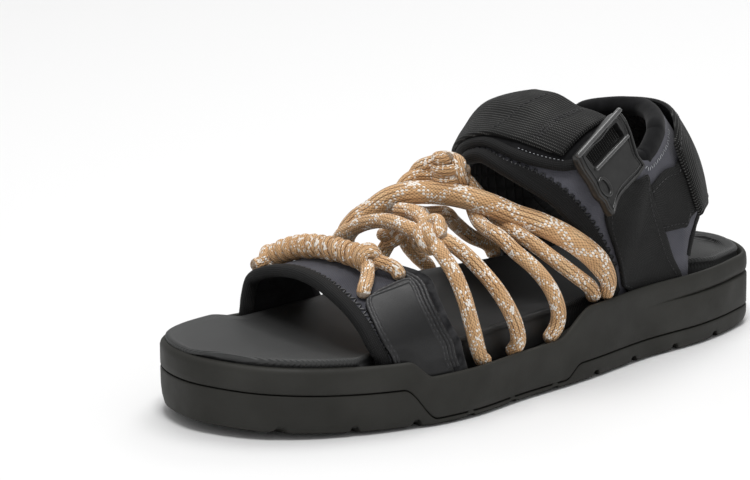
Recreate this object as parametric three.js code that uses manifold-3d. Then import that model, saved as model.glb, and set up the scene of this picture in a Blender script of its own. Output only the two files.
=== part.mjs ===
// A left beach sandal with a cupped sole, a padded toe strap, a padded ankle strap with webbing
// and a buckle, and a lacing of round rope. Millimetres, +Z up, toe towards +X, the outer
// (lateral) side towards +Y. The origin is on the ground, under the middle of the sole.
import * as THREE from "three";
import { mergeVertices } from "three/addons/utils/BufferGeometryUtils.js";
import Module from "manifold-3d";

const wasm = await Module();
wasm.setup();

// Driving sizes of the sole
const soleLength = 292;
const ballWidth = 109;
const toeSpring = 3.7;
const treadThickness = 2.2;
const treadEdge = 2.6;
const heelBand = 8;
const toeBand = 16.6;
const bandThickness = 3;
const bumperTop = 28.1;
const midCupTop = 20.5;
const heelCupTop = 31.3;
const lipThickness = 2.6;
const channelDepth = 4.2;
const footbedSideInset = 11;
const footbedToeInset = 3.6;
const footbedHeelInset = 5;
const lugSpacing = 26;
const lugGroove = 5;
const lugDepth = 1.9;
const treadRounding = 1.6;
const treadRise = 1.4;
const toeTuck = 2.4;
const wallDraft = 0.1;
const bandLip = 0.5;
const lipRounding = 1.3;
const heelCrease = 0.9;
const rimRounding = 1.2;
const rimDrop = 1.4;

// Driving sizes of the upper
const upperHeight = 110;
const vampWall = 3;
const bindingStep = 0.8;
const panelThickness = 1.6;
const ankleWall = 4;
const collarPadding = 2.4;
const flapThickness = 2.4;
const instepSwell = 1.5;
const webbingThickness = 1.6;
const heelFlapThickness = 2;
const ropeDiameter = 6.5;
const mainRopeDiameter = 9;
const wrapDiameter = 10.4;
const knotSize = 12.6;
const buckleWidth = 35.2;
const buckleThickness = 4.4;
const buckleBevel = 0.5;
const tailLift = 1.5;
const tailSink = 0.6;
const clearance = 0.35;

// The sole's outline: shares of the sole's length and of the ball width.
const OUTLINE = [
  // along, lateral, medial
  [-0.5, 0.002, 0.002],
  [-0.47, 0.215, -0.194],
  [-0.42, 0.283, -0.295],
  [-0.34, 0.34, -0.337],
  [-0.22, 0.365, -0.335],
  [-0.08, 0.436, -0.331],
  [0.05, 0.474, -0.365],
  [0.16, 0.52, -0.426],
  [0.25, 0.503, -0.473],
  [0.34, 0.434, -0.477],
  [0.41, 0.339, -0.433],
  [0.46, 0.219, -0.349],
  [0.49, 0.065, -0.212],
  [0.5, -0.053, -0.053],
];

// The footbed's rim and its middle: heights in shares of the heel cup's height.
const FOOTBED = [
  // along, lateral rim, medial rim, middle
  [-0.5, 1.06, 1.06, 1.0],
  [-0.35, 1.1, 1.1, 0.97],
  [-0.2, 1.05, 1.15, 1.0],
  [0, 0.99, 1.2, 1.02],
  [0.1, 0.98, 1.16, 1.0],
  [0.2, 0.98, 1.03, 0.96],
  [0.32, 0.98, 0.95, 0.93],
  [0.5, 0.98, 0.93, 0.92],
];

// Toe strap, from its inner base over the toes to its outer base: shares of the sole's length,
// the ball width and the upper's height, along the front edge and along the rear edge.
const VAMP = [
  // across, front x y z, rear x y z
  [0, 0.291, -0.425, 0.236, 0.154, -0.372, 0.164],
  [0.07, 0.291, -0.429, 0.282, 0.159, -0.381, 0.245],
  [0.17, 0.286, -0.431, 0.345, 0.171, -0.39, 0.327],
  [0.25, 0.281, -0.417, 0.405, 0.182, -0.367, 0.409],
  [0.33, 0.283, -0.353, 0.445, 0.192, -0.303, 0.468],
  [0.42, 0.284, -0.229, 0.482, 0.204, -0.183, 0.514],
  [0.5, 0.29, -0.092, 0.5, 0.205, -0.046, 0.527],
  [0.58, 0.297, 0.046, 0.495, 0.199, 0.073, 0.53],
  [0.66, 0.305, 0.165, 0.473, 0.187, 0.193, 0.523],
  [0.74, 0.31, 0.266, 0.439, 0.175, 0.312, 0.5],
  [0.82, 0.312, 0.358, 0.386, 0.182, 0.39, 0.439],
  [0.9, 0.311, 0.413, 0.327, 0.179, 0.445, 0.355],
  [0.96, 0.301, 0.429, 0.273, 0.164, 0.463, 0.273],
  [1, 0.291, 0.428, 0.236, 0.151, 0.471, 0.164],
];

// Ankle strap, from the instep (0) round to the back of the heel (1): shares of the sole's
// length, the ball width and the upper's height. The swell is in shares of the ankle wall.
const ANKLE = [
  // around, lower x, lateral y, medial y, z, upper x, lateral y, medial y, z, swell
  [0, -0.019, 0, 0, 0.832, -0.171, 0, 0, 0.936, 0.4],
  [0.1, -0.022, 0.11, 0.101, 0.8, -0.176, 0.101, 0.092, 0.923, 1],
  [0.2, -0.038, 0.197, 0.183, 0.745, -0.188, 0.188, 0.174, 0.905, 1.75],
  [0.3, -0.063, 0.275, 0.252, 0.677, -0.199, 0.252, 0.234, 0.873, 2.25],
  [0.4, -0.089, 0.33, 0.298, 0.591, -0.212, 0.289, 0.271, 0.823, 1.5],
  [0.5, -0.12, 0.353, 0.317, 0.473, -0.226, 0.307, 0.284, 0.791, 0.8],
  [0.57, -0.147, 0.361, 0.312, 0.345, -0.238, 0.312, 0.289, 0.786, 0.6],
  [0.6, -0.166, 0.348, 0.293, 0.249, -0.243, 0.312, 0.289, 0.786, 0.5],
  [0.7, -0.24, 0.318, 0.29, 0.249, -0.262, 0.294, 0.275, 0.809, 0.5],
  [0.8, -0.318, 0.298, 0.292, 0.249, -0.288, 0.252, 0.243, 0.855, 0.6],
  [0.83, -0.327, 0.29, 0.284, 0.345, -0.296, 0.229, 0.22, 0.873, 0.75],
  [0.88, -0.346, 0.268, 0.26, 0.436, -0.31, 0.183, 0.179, 0.886, 0.9],
  [0.94, -0.384, 0.174, 0.174, 0.464, -0.329, 0.101, 0.101, 0.9, 1],
  [1, -0.404, 0, 0, 0.473, -0.341, 0, 0, 0.905, 1],
];

// Rope routes: shares of the sole's length, the ball width and the upper's height. A route that
// starts or ends with one number dips into the sole's channel there, at that share of the length.
const ROPES = {
  firstLoop: {
    lacing: "front",
    side: 1,
    route: [[0.118], [0.127, 0.455, 0.2], [0.146, 0.468, 0.327], [0.153, 0.44, 0.444],
      [0.151, 0.376, 0.522], [0.147, 0.294, 0.575], [0.139, 0.202, 0.614]],
  },
  secondLoop: {
    lacing: "front",
    side: 1,
    route: [[0.056], [0.053, 0.44, 0.218], [0.062, 0.454, 0.295], [0.083, 0.44, 0.41],
      [0.094, 0.367, 0.493], [0.109, 0.294, 0.565], [0.125, 0.248, 0.606], [0.139, 0.202, 0.614]],
  },
  thirdLoop: {
    lacing: "rear",
    side: 1,
    route: [[-0.021], [-0.029, 0.414, 0.24], [-0.028, 0.425, 0.3], [-0.019, 0.413, 0.379],
      [-0.006, 0.367, 0.454], [0.015, 0.312, 0.524], [0.024, 0.248, 0.574], [0.015, 0.156, 0.577],
      [0.004, 0.064, 0.592], [-0.01, -0.018, 0.632], [-0.015, -0.073, 0.7], [0.004, -0.083, 0.767]],
  },
  fourthLoop: {
    lacing: "rear",
    side: 1,
    route: [[-0.117, 0.36, 0.3], [-0.105, 0.377, 0.341], [-0.073, 0.368, 0.412],
      [-0.047, 0.323, 0.478], [-0.029, 0.268, 0.531], [-0.019, 0.202, 0.567],
      [-0.027, 0.092, 0.582], [-0.034, 0.009, 0.618], [-0.03, -0.037, 0.655],
      [-0.018, -0.073, 0.709], [0.004, -0.083, 0.767]],
  },
  mainRope: {
    lacing: "rear",
    side: -1,
    thick: true,
    route: [[-0.139, 0.366, 0.3], [-0.134, 0.392, 0.356], [-0.11, 0.398, 0.45],
      [-0.078, 0.347, 0.535], [-0.053, 0.253, 0.586], [-0.03, 0.174, 0.615],
      [-0.01, 0.092, 0.65], [0.008, 0, 0.672], [0.025, -0.101, 0.678], [0.05, -0.183, 0.674],
      [0.07, -0.248, 0.649], [0.086, -0.303, 0.599], [0.101, -0.349, 0.556],
      [0.111, -0.385, 0.495], [0.111, -0.38, 0.382], [0.11, -0.36, 0.26], [0.11]],
  },
  frontArch: {
    lacing: "front",
    side: -1,
    route: [[0.144], [0.146, -0.372, 0.345], [0.142, -0.358, 0.455], [0.138, -0.321, 0.521],
      [0.139, -0.266, 0.553], [0.139, -0.183, 0.595], [0.139, -0.083, 0.625],
      [0.142, 0.018, 0.635], [0.145, 0.11, 0.632], [0.139, 0.202, 0.614]],
  },
  crossRope: {
    lacing: "front",
    side: -1,
    route: [[-0.137, -0.283, 0.33], [-0.13, -0.289, 0.364], [-0.089, -0.275, 0.423],
      [-0.048, -0.239, 0.5], [-0.012, -0.183, 0.564], [0.041, -0.142, 0.595],
      [0.082, -0.106, 0.632], [0.107, -0.073, 0.653], [0.11, 0.009, 0.663],
      [0.117, 0.092, 0.655], [0.131, 0.165, 0.636], [0.139, 0.202, 0.614]],
  },
  medialLoopFront: {
    lacing: "rear",
    side: -1,
    route: [[0.055], [0.058, -0.335, 0.273], [0.06, -0.339, 0.391], [0.046, -0.321, 0.473],
      [0.043, -0.317, 0.545], [0.041, -0.303, 0.618], [0.032, -0.266, 0.696],
      [0.02, -0.239, 0.717], [0.005, -0.156, 0.729], [0.004, -0.083, 0.755]],
  },
  medialLoopRear: {
    lacing: "rear",
    side: -1,
    route: [[-0.031], [-0.027, -0.31, 0.255], [-0.023, -0.318, 0.318], [-0.003, -0.325, 0.373],
      [0.02, -0.321, 0.449], [0.017, -0.326, 0.545], [0.017, -0.294, 0.655],
      [0.014, -0.261, 0.732], [0.011, -0.208, 0.765], [0.002, -0.138, 0.782], [0.004, -0.083, 0.773]],
  },
};
// Knots of the lacing: place as shares, size in shares of the knot size.
const KNOTS = {
  // along, across, up, size
  front: [[0.139, 0.202, 0.614, 0.95]],
  rear: [[0.004, -0.083, 0.767, 1.15], [0.045, -0.317, 0.48, 0.85]],
};

// Numbers of facets
const outlineSteps = 66;
const ropeSides = 6;

const clamp = THREE.MathUtils.clamp;
const step = THREE.MathUtils.smoothstep;
const mix = THREE.MathUtils.lerp;
const place = (along, across, up) =>
  new THREE.Vector3(along * soleLength, across * ballWidth, up * upperHeight);

// A smooth curve through the rows of a table, read by the table's first column.
function smoothTable(rows) {
  const slope = (i, c) => {
    const before = rows[Math.max(i - 1, 0)];
    const after = rows[Math.min(i + 1, rows.length - 1)];
    return (after[c] - before[c]) / (after[0] - before[0]);
  };
  return (key) => {
    let i = 0;
    while (i < rows.length - 2 && key > rows[i + 1][0]) i += 1;
    const span = rows[i + 1][0] - rows[i][0];
    const t = clamp((key - rows[i][0]) / span, 0, 1);
    return rows[i].map((start, c) => {
      const end = rows[i + 1][c];
      const turn = (3 * t * t - 2 * t * t * t) * (end - start);
      const leave = t * (1 - t) * (1 - t) * span * slope(i, c);
      const arrive = t * t * (1 - t) * span * slope(i + 1, c);
      return start + turn + leave - arrive;
    });
  };
}

// Solids and booleans
function solidOf(points, faces) {
  const flat = new THREE.BufferGeometry().setFromPoints(points).setIndex(faces);
  return solidOfGeometry(flat);
}

function solidOfGeometry(geometry) {
  const bare = geometry.clone();
  bare.deleteAttribute("normal");
  bare.deleteAttribute("uv");
  const merged = mergeVertices(bare, 1e-4);
  const build = (triVerts) =>
    new wasm.Manifold(
      new wasm.Mesh({
        numProp: 3,
        vertProperties: new Float32Array(merged.attributes.position.array),
        triVerts,
      }),
    );
  const solid = build(new Uint32Array(merged.index.array));
  if (solid.volume() > 0) return solid;
  return build(new Uint32Array(merged.index.array).reverse());
}

function geometryOf(solid) {
  const mesh = solid.getMesh();
  const positions = new Float32Array(mesh.numVert * 3);
  for (let i = 0; i < mesh.numVert; i += 1) {
    const start = i * mesh.numProp;
    positions.set(mesh.vertProperties.subarray(start, start + 3), i * 3);
  }
  const geometry = new THREE.BufferGeometry();
  geometry.setAttribute("position", new THREE.BufferAttribute(positions, 3));
  geometry.setIndex(new THREE.BufferAttribute(new Uint32Array(mesh.triVerts), 1));
  geometry.computeVertexNormals();
  return geometry;
}

const joined = (solids) => solids.reduce((whole, piece) => whole.add(piece));

// The outline, once round from the heel along the outer side, with its outward directions
function makeOutline() {
  const lateral = OUTLINE.map(([along, y]) => place(along, y, 0));
  const medial = OUTLINE.slice(1, -1).map(([along, , y]) => place(along, y, 0));
  const loop = new THREE.CatmullRomCurve3([...lateral, ...medial.reverse()], true, "centripetal");
  const points = loop.getSpacedPoints(outlineSteps).slice(0, -1);
  return points.map((p, i) => {
    const before = points[(i + points.length - 1) % points.length];
    const after = points[(i + 1) % points.length];
    const along = new THREE.Vector2(after.x - before.x, after.y - before.y).normalize();
    return { x: p.x, y: p.y, outX: -along.y, outY: along.x };
  });
}
const outline = makeOutline();
const turnsLeft = outline[5].outY > 0;
for (const o of outline) {
  if (turnsLeft) continue;
  o.outX = -o.outX;
  o.outY = -o.outY;
}

// The outline's half width at a place along the sole, on one side (1 lateral, -1 medial)
function edgeY(x, side) {
  let best = 0;
  outline.forEach((o, i) => {
    const next = outline[(i + 1) % outline.length];
    const inside = (o.x - x) * (next.x - x) <= 0 && o.x !== next.x;
    const y = inside ? mix(o.y, next.y, (x - o.x) / (next.x - o.x)) : 0;
    if (inside && y * side > best * side) best = y;
  });
  return best;
}
const middleY = (x) => (edgeY(x, 1) + edgeY(x, -1)) / 2;

// Heights along the sole
const toeStart = 0.22 * soleLength;
const spring = (x) => toeSpring * (Math.max(0, x - toeStart) / (soleLength / 2 - toeStart)) ** 2;
const isToe = (x) => step(x, 0.226 * soleLength, 0.267 * soleLength);
const isHeel = (x) => 1 - step(x, -0.095 * soleLength, -0.017 * soleLength);
const cupTop = (x) =>
  midCupTop + (bumperTop - midCupTop) * isToe(x) + (heelCupTop - midCupTop) * isHeel(x);
const bandTop = (x) =>
  treadEdge +
  (toeBand - treadEdge) * step(x, 0.222 * soleLength, 0.276 * soleLength) +
  (heelBand - treadEdge) * (1 - step(x, -0.07 * soleLength, -0.035 * soleLength));
const seat = (x) =>
  midCupTop -
  channelDepth +
  (bumperTop - midCupTop) * step(x, 0.2 * soleLength, 0.36 * soleLength) +
  (heelCupTop - midCupTop) * (1 - step(x, -0.2 * soleLength, 0.02 * soleLength));
const footbedInset = (x) =>
  footbedSideInset +
  (footbedToeInset - footbedSideInset) * step(x, 0.315 * soleLength, 0.35 * soleLength) +
  (footbedHeelInset - footbedSideInset) * (1 - step(x, -0.38 * soleLength, -0.345 * soleLength));
const footbedHeights = smoothTable(FOOTBED);

// One level round the sole. The inset and the height may depend on the place along the outline.
function level(inset, height) {
  return outline.map((o) => {
    const x = o.x - o.outX * inset(o);
    const y = o.y - o.outY * inset(o);
    return new THREE.Vector3(x, y, height(o, x) + spring(x));
  });
}

// A level drawn in towards the sole's middle line, for the inner part of a top or a bottom
function drawnIn(base, share, height) {
  const reach = soleLength / 2 - 0.13 * soleLength;
  return base.map((p, i) => {
    const midX = clamp(p.x, -reach, reach);
    const x = mix(midX, p.x, share);
    const y = mix(middleY(midX), p.y, share);
    return new THREE.Vector3(x, y, height(outline[i], x) + spring(x));
  });
}

// Closes a stack of levels into one solid. The first and the last level are closed by rungs
// between their two sides.
function stack(levels) {
  const count = levels[0].length;
  const faces = [];
  for (let k = 0; k + 1 < levels.length; k += 1) {
    for (let i = 0; i < count; i += 1) {
      const next = (i + 1) % count;
      const low = k * count;
      const high = low + count;
      faces.push(low + i, low + next, high + next, low + i, high + next, high + i);
    }
  }
  const top = (levels.length - 1) * count;
  for (let i = 0; i < count - i - 1; i += 1) {
    const far = count - i - 1;
    const farNext = (far + 1) % count;
    if (i + 1 !== far) faces.push(top + i, top + i + 1, top + far, far, i + 1, i);
    if (farNext !== i) faces.push(top + i, top + far, top + farNext, farNext, far, i);
  }
  return solidOf(levels.flat(), faces);
}

const even = (value) => () => value;

function makeOutsole() {
  const inner = level(even(bandThickness), (o) => Math.max(bandTop(o.x), treadThickness));
  const floor = level(even(bandThickness), even(treadThickness));
  const tuck = (o) => toeTuck * isToe(o.x);
  const shoulder = (o) => Math.max(bandTop(o.x) - 2 * bandLip, mix(treadRise, treadThickness, 0.5));
  const body = stack([
    level((o) => treadRounding + tuck(o), even(0)),
    level((o) => 2 * wallDraft + 0.45 * tuck(o), even(treadRise)),
    level((o) => wallDraft + 0.12 * tuck(o), (o) => mix(treadRise, shoulder(o), 0.35)),
    level(even(0), shoulder),
    level(even(bandLip), (o) => bandTop(o.x)),
    inner,
    floor,
  ]);
  const lugs = [];
  const grooves = Math.floor((0.9 * soleLength) / lugSpacing);
  for (let i = 0; i <= grooves; i += 1) {
    const x = (i - grooves / 2) * lugSpacing;
    const groove = new THREE.BoxGeometry(lugGroove, 2 * ballWidth, 2 * lugDepth);
    groove.translate(x, 0, spring(x));
    lugs.push(solidOfGeometry(groove));
  }
  return body.subtract(joined(lugs));
}

function makeMidsole() {
  const waist = bandThickness + clearance;
  const wall = (share, o) => mix(bandTop(o.x) + clearance, cupTop(o.x), share);
  const crease = (o) => wallDraft + heelCrease * isHeel(o.x);
  const ledge = 2 * clearance;
  return stack([
    level(even(waist), even(treadThickness + clearance)),
    level(even(waist), (o) => wall(0, o)),
    level(even(ledge), (o) => wall(0, o)),
    level(even(0), (o) => wall(0, o) + ledge),
    level(crease, (o) => wall(0.72, o)),
    level(even(wallDraft), (o) => wall(0.88, o)),
    level(even(lipRounding), (o) => wall(1, o)),
    level(even(lipThickness), (o) => wall(1, o) - clearance),
    level(even(lipThickness), (o, x) => seat(x)),
  ]);
}

function makeFootbed() {
  const under = (o, x) => seat(x) + 2 * clearance;
  const rimHeight = (o) => {
    const [, lateral, medial] = footbedHeights(o.x / soleLength);
    return heelCupTop * mix(medial, lateral, step(o.y, -0.1 * ballWidth, 0.1 * ballWidth));
  };
  const middle = (x) => heelCupTop * footbedHeights(x / soleLength)[3];
  const top = level((o) => footbedInset(o.x) + rimRounding, rimHeight);
  const dish = (share) => (o, x) => mix(middle(x), rimHeight(o), share ** 2.4);
  return stack([
    level((o) => footbedInset(o.x), under),
    level((o) => footbedInset(o.x), (o) => rimHeight(o) - rimDrop),
    top,
    drawnIn(top, 0.88, dish(0.8)),
    drawnIn(top, 0.55, dish(0.4)),
    drawnIn(top, 0.1, dish(0.05)),
  ]);
}

// How firmly the sole's lip holds a strap at a point: 1 below the lip's top, 0 well above it
const held = (p) => 1 - step(p.z - cupTop(p.x) - spring(p.x), 0, 2 * lipThickness);

// Outward direction of a surface given as a function of two numbers. It is level where the lip
// of the sole holds the surface.
function facing(surface, u, v) {
  const d = 1e-3;
  const alongU = surface(u + d, v).sub(surface(u - d, v));
  const alongV = surface(u, v + d).sub(surface(u, v - d));
  const out = alongU.cross(alongV).normalize();
  out.z *= 1 - held(surface(u, v));
  return out.normalize();
}

const lineBetween = (row, t) =>
  place(mix(row[1], row[4], t), mix(row[2], row[5], t), mix(row[3], row[6], t));

// Toe strap surface: across from 0 (inner base) to 1 (outer base), t from its front to its rear.
// Near both bases it follows the channel in the sole.
const vampRows = smoothTable(VAMP);
const vampInset = lipThickness + panelThickness + 3 * clearance;
function vampSurface(across, t) {
  const p = lineBetween(vampRows(across), t);
  const side = across < 0.5 ? -1 : 1;
  const low = 1 - step(Math.min(across, 1 - across), 0, 0.05);
  p.z = mix(p.z, seat(p.x) + spring(p.x) + 2 * clearance, low);
  p.y = mix(p.y, edgeY(p.x, side) - side * vampInset, held(p));
  return p;
}
const vampAt = (across, t, off) =>
  vampSurface(across, t).addScaledVector(facing(vampSurface, across, t), off);

// Ankle strap surface: round from -1 (heel, inner side) over 0 (instep) to 1 (heel, outer side),
// t from its lower edge to its upper edge.
const ankleInset = lipThickness + webbingThickness + 3 * clearance;
const isBase = (around) => Math.abs(around) > 0.585 && Math.abs(around) < 0.815;
function ankleTable() {
  const halfRow = (row, side) => {
    const seated = isBase(row[0]);
    const lowY = side > 0 ? row[2] : -row[3];
    const baseY = (edgeY(row[1] * soleLength, side) - side * ankleInset) / ballWidth;
    const low = seated ? (seat(row[1] * soleLength) + clearance) / upperHeight : row[4];
    const highY = side > 0 ? row[6] : -row[7];
    return [side * row[0], row[1], seated ? baseY : lowY, low, row[5], highY, row[8], row[9]];
  };
  const outer = ANKLE.map((row) => halfRow(row, 1));
  const inner = ANKLE.slice(1, -1).map((row) => halfRow(row, -1)).reverse();
  const shifted = (rows, by) => rows.map(([key, ...rest]) => [key + by, ...rest]);
  return [...shifted(outer.slice(-6), -2), ...inner, ...outer, ...shifted(inner.slice(0, 6), 2)];
}
const ankleRows = smoothTable(ankleTable());
function ankleLine(around, t) {
  return lineBetween(ankleRows(around), t);
}
function ankleSurface(around, t) {
  const swell = ankleRows(around)[7] * ankleWall * Math.sin(Math.PI * clamp(t, 0, 1));
  const p = ankleLine(around, t).addScaledVector(facing(ankleLine, around, t), swell);
  const side = Math.sign(p.y);
  const low = isBase(around) ? 1 - step(t, 0, 0.1) : 0;
  p.z = mix(p.z, seat(p.x) + 2 * clearance, low);
  p.y = mix(p.y, edgeY(p.x, side) - side * ankleInset, held(p));
  return p;
}
const ankleAt = (around, t, off) =>
  ankleSurface(around, t).addScaledVector(facing(ankleSurface, around, t), off);

// A wall between two offsets of a surface. Each grid line i, j gives the surface's two numbers.
function wall(at, grid, outerOff, innerOff, closed) {
  const rows = grid.length;
  const columns = grid[0].length;
  const points = [];
  for (const off of [outerOff, innerOff]) {
    grid.forEach((line, i) =>
      line.forEach(([u, v], j) => points.push(at(u, v, off(u, v, i, j)))),
    );
  }
  const id = (layer, i, j) => layer * rows * columns + (i % rows) * columns + j;
  const faces = [];
  const quad = (a, b, c, d) => faces.push(a, b, c, a, c, d);
  const last = closed ? rows : rows - 1;
  for (let i = 0; i < last; i += 1) {
    for (let j = 0; j + 1 < columns; j += 1) {
      quad(id(0, i, j), id(0, i + 1, j), id(0, i + 1, j + 1), id(0, i, j + 1));
      quad(id(1, i, j + 1), id(1, i + 1, j + 1), id(1, i + 1, j), id(1, i, j));
    }
    const end = columns - 1;
    quad(id(1, i, 0), id(1, i + 1, 0), id(0, i + 1, 0), id(0, i, 0));
    quad(id(0, i, end), id(0, i + 1, end), id(1, i + 1, end), id(1, i, end));
  }
  if (!closed) {
    for (let j = 0; j + 1 < columns; j += 1) {
      quad(id(0, 0, j), id(0, 0, j + 1), id(1, 0, j + 1), id(1, 0, j));
      const end = rows - 1;
      quad(id(1, end, j), id(1, end, j + 1), id(0, end, j + 1), id(0, end, j));
    }
  }
  return solidOf(points, faces);
}

// The grid of a ribbon that runs between two edges, each a short list of surface numbers.
function ribbonGrid(firstEdge, secondEdge, steps, columns) {
  const curve = (edge) =>
    new THREE.CatmullRomCurve3(edge.map(([u, v]) => new THREE.Vector3(u, v, 0)));
  const first = curve(firstEdge);
  const second = curve(secondEdge);
  return Array.from({ length: steps + 1 }, (_, i) => {
    const a = first.getPoint(i / steps);
    const b = second.getPoint(i / steps);
    return Array.from({ length: columns + 1 }, (__, j) => [
      mix(a.x, b.x, j / columns),
      mix(a.y, b.y, j / columns),
    ]);
  });
}

const evenGrid = (from, to, steps, columns) =>
  Array.from({ length: steps + 1 }, (_, i) =>
    columns.map((v) => [mix(from, to, i / steps), v]),
  );

// Toe strap with its bound front edge and its thicker suede rear edge
function makeToeStrap() {
  const columns = [0, 0.09, 0.11, 0.44, 0.81, 0.83, 1];
  const outer = (across, t) => (t < 0.1 || t > 0.82 ? bindingStep : 0);
  return wall(vampAt, evenGrid(0, 1, 28, columns), outer, even(-vampWall), false);
}

function makeToePanel(side) {
  const across = (share) => (side > 0 ? share : 1 - share);
  const low = 0.985;
  const grid = ribbonGrid(
    [[across(0.738), 0.3], [across(0.77), 0.17], [across(0.84), 0.13], [across(0.92), 0.125],
      [across(low), 0.13]],
    [[across(0.718), 0.785], [across(0.785), 0.79], [across(0.85), 0.79], [across(0.92), 0.79],
      [across(low), 0.785]],
    8,
    4,
  );
  return wall(vampAt, grid, even(clearance + panelThickness), even(clearance), false);
}

// Ankle strap: bound lower edge, padded collar round the heel
function makeAnkleStrap() {
  const columns = [0, 0.07, 0.08, 0.3, 0.5, 0.7, 0.86, 1];
  const corners = [0.57, 0.6, 0.65, 0.7, 0.75, 0.78, 0.8, 0.83, 0.845];
  const around = [];
  for (let k = 0; k <= 9; k += 1) around.push(0.06 * k);
  around.push(...corners);
  for (let k = 1; k <= 5; k += 1) around.push(0.83 + 0.034 * k);
  const loop = [...around.slice(1, -1).map((a) => -a).reverse(), ...around, 1];
  const grid = loop.map((a) => columns.map((t) => [a, t]));
  const outer = (a, t) => (t < 0.075 && !isBase(a) ? bindingStep : 0);
  const inner = (a, t) =>
    -ankleWall - collarPadding * step(t, 0.7, 0.86) * step(Math.abs(a), 0.45, 0.7);
  return wall(ankleAt, grid, outer, inner, true);
}

function ankleRibbon(firstEdge, secondEdge, steps, columns, base, thickness) {
  const grid = ribbonGrid(firstEdge, secondEdge, steps, columns);
  return wall(ankleAt, grid, (u, v) => base(u, v) + thickness, base, false);
}

// The layers on the ankle strap. The instep webbing lies on the flap over the instep, and comes
// down to the strap itself on the inner side.
const facetClearance = 2 * clearance;
const instepRise = flapThickness + 2 * facetClearance + clearance;
const instepBase = (around, t) =>
  mix(instepRise, facetClearance, step(-around, 0.41, 0.52)) +
  instepSwell * step(t, 0.5, 0.75) * step(-around, -0.12, 0) * (1 - step(-around, 0.25, 0.4));

const makeInstepFlap = () =>
  ankleRibbon(
    [[0.285, 0.38], [0.25, 0.27], [0.205, 0.21], [0.137, 0.15], [0.065, 0.12], [0, 0.11],
      [-0.1, 0.11], [-0.2, 0.11], [-0.33, 0.14]],
    [[0.285, 0.8], [0.25, 0.9], [0.205, 0.93], [0.137, 0.95], [0.065, 0.96], [0, 0.96],
      [-0.1, 0.955], [-0.2, 0.95], [-0.33, 0.9]],
    20,
    5,
    even(facetClearance),
    flapThickness,
  );

const makeInstepWebbing = () =>
  ankleRibbon(
    [[0.238, 0.335], [0.185, 0.3], [0.106, 0.257], [0.038, 0.2], [-0.03, 0.16], [-0.11, 0.14],
      [-0.2, 0.13], [-0.3, 0.15], [-0.42, 0.17], [-0.53, 0.12], [-0.6, 0.06], [-0.63, 0.005]],
    [[0.238, 0.96], [0.185, 0.97], [0.106, 0.975], [0.038, 0.98], [-0.03, 0.985], [-0.11, 0.985],
      [-0.2, 0.985], [-0.3, 0.985], [-0.45, 0.93], [-0.62, 0.6], [-0.72, 0.3], [-0.765, 0.005]],
    20,
    5,
    instepBase,
    webbingThickness,
  );

const makeSideWebbing = () =>
  ankleRibbon(
    [[0.64, 0.005], [0.62, 0.09], [0.551, 0.16], [0.468, 0.24], [0.425, 0.34], [0.43, 0.46]],
    [[0.79, 0.005], [0.78, 0.09], [0.758, 0.206], [0.732, 0.38], [0.695, 0.55], [0.638, 0.73]],
    12,
    4,
    even(facetClearance),
    webbingThickness,
  );

const makeHeelWebbing = () =>
  ankleRibbon(
    [[0.752, 0.39], [0.79, 0.37], [0.83, 0.28], [0.88, 0.17], [0.94, 0.12], [1, 0.1],
      [1.07, 0.1], [1.14, 0.12], [1.2, 0.24], [1.22, 0.36]],
    [[0.652, 0.79], [0.737, 0.745], [0.8, 0.7], [0.865, 0.6], [0.93, 0.52], [1, 0.5],
      [1.08, 0.5], [1.17, 0.54], [1.2, 0.6], [1.23, 0.66]],
    22,
    4,
    even(facetClearance),
    webbingThickness,
  );

const makeHeelFlap = () =>
  ankleRibbon(
    [[0.868, 0.16], [0.93, 0.1], [1, 0.08], [1.07, 0.1], [1.132, 0.16]],
    [[0.8, 0.9], [0.9, 0.93], [1, 0.93], [1.1, 0.93], [1.2, 0.9]],
    12,
    4,
    even(facetClearance + webbingThickness + facetClearance),
    heelFlapThickness,
  );

// A round rope through chosen points. The radius may change along it.
function ropeSolid(points, radius, steps) {
  const curve = new THREE.CatmullRomCurve3(points, false, "centripetal");
  const frames = curve.computeFrenetFrames(steps, false);
  const positions = [];
  const faces = [];
  for (let i = 0; i <= steps; i += 1) {
    const centre = curve.getPointAt(i / steps);
    for (let k = 0; k < ropeSides; k += 1) {
      const turn = (2 * Math.PI * k) / ropeSides;
      const p = centre.clone();
      p.addScaledVector(frames.normals[i], radius(i / steps) * Math.cos(turn));
      p.addScaledVector(frames.binormals[i], radius(i / steps) * Math.sin(turn));
      positions.push(p);
    }
  }
  for (let i = 0; i < steps; i += 1) {
    for (let k = 0; k < ropeSides; k += 1) {
      const next = (k + 1) % ropeSides;
      const low = i * ropeSides;
      const high = low + ropeSides;
      faces.push(low + k, low + next, high + next, low + k, high + next, high + k);
    }
  }
  const end = steps * ropeSides;
  for (let k = 1; k + 1 < ropeSides; k += 1) {
    faces.push(0, k + 1, k);
    faces.push(end, end + k, end + k + 1);
  }
  return solidOf(positions, faces);
}

function knotSolid(centre, size) {
  const tube = 0.19 * size;
  const radius = (size / 2 - tube) / 1.5;
  const wound = new THREE.TorusKnotGeometry(radius, tube, 26, 5, 2, 3);
  const core = new THREE.IcosahedronGeometry(0.42 * size, 0);
  wound.translate(centre.x, centre.y, centre.z);
  core.translate(centre.x, centre.y, centre.z);
  return solidOfGeometry(wound).add(solidOfGeometry(core));
}

// Where a rope dips into the channel between the lip and the footbed
function channelPoint(along, side) {
  const x = along * soleLength;
  const inset = lipThickness + clearance + ropeDiameter / 2;
  const y = edgeY(x, side) - side * inset;
  return new THREE.Vector3(x, y, seat(x) + spring(x) + clearance + 0.5 * ropeDiameter);
}

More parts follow.
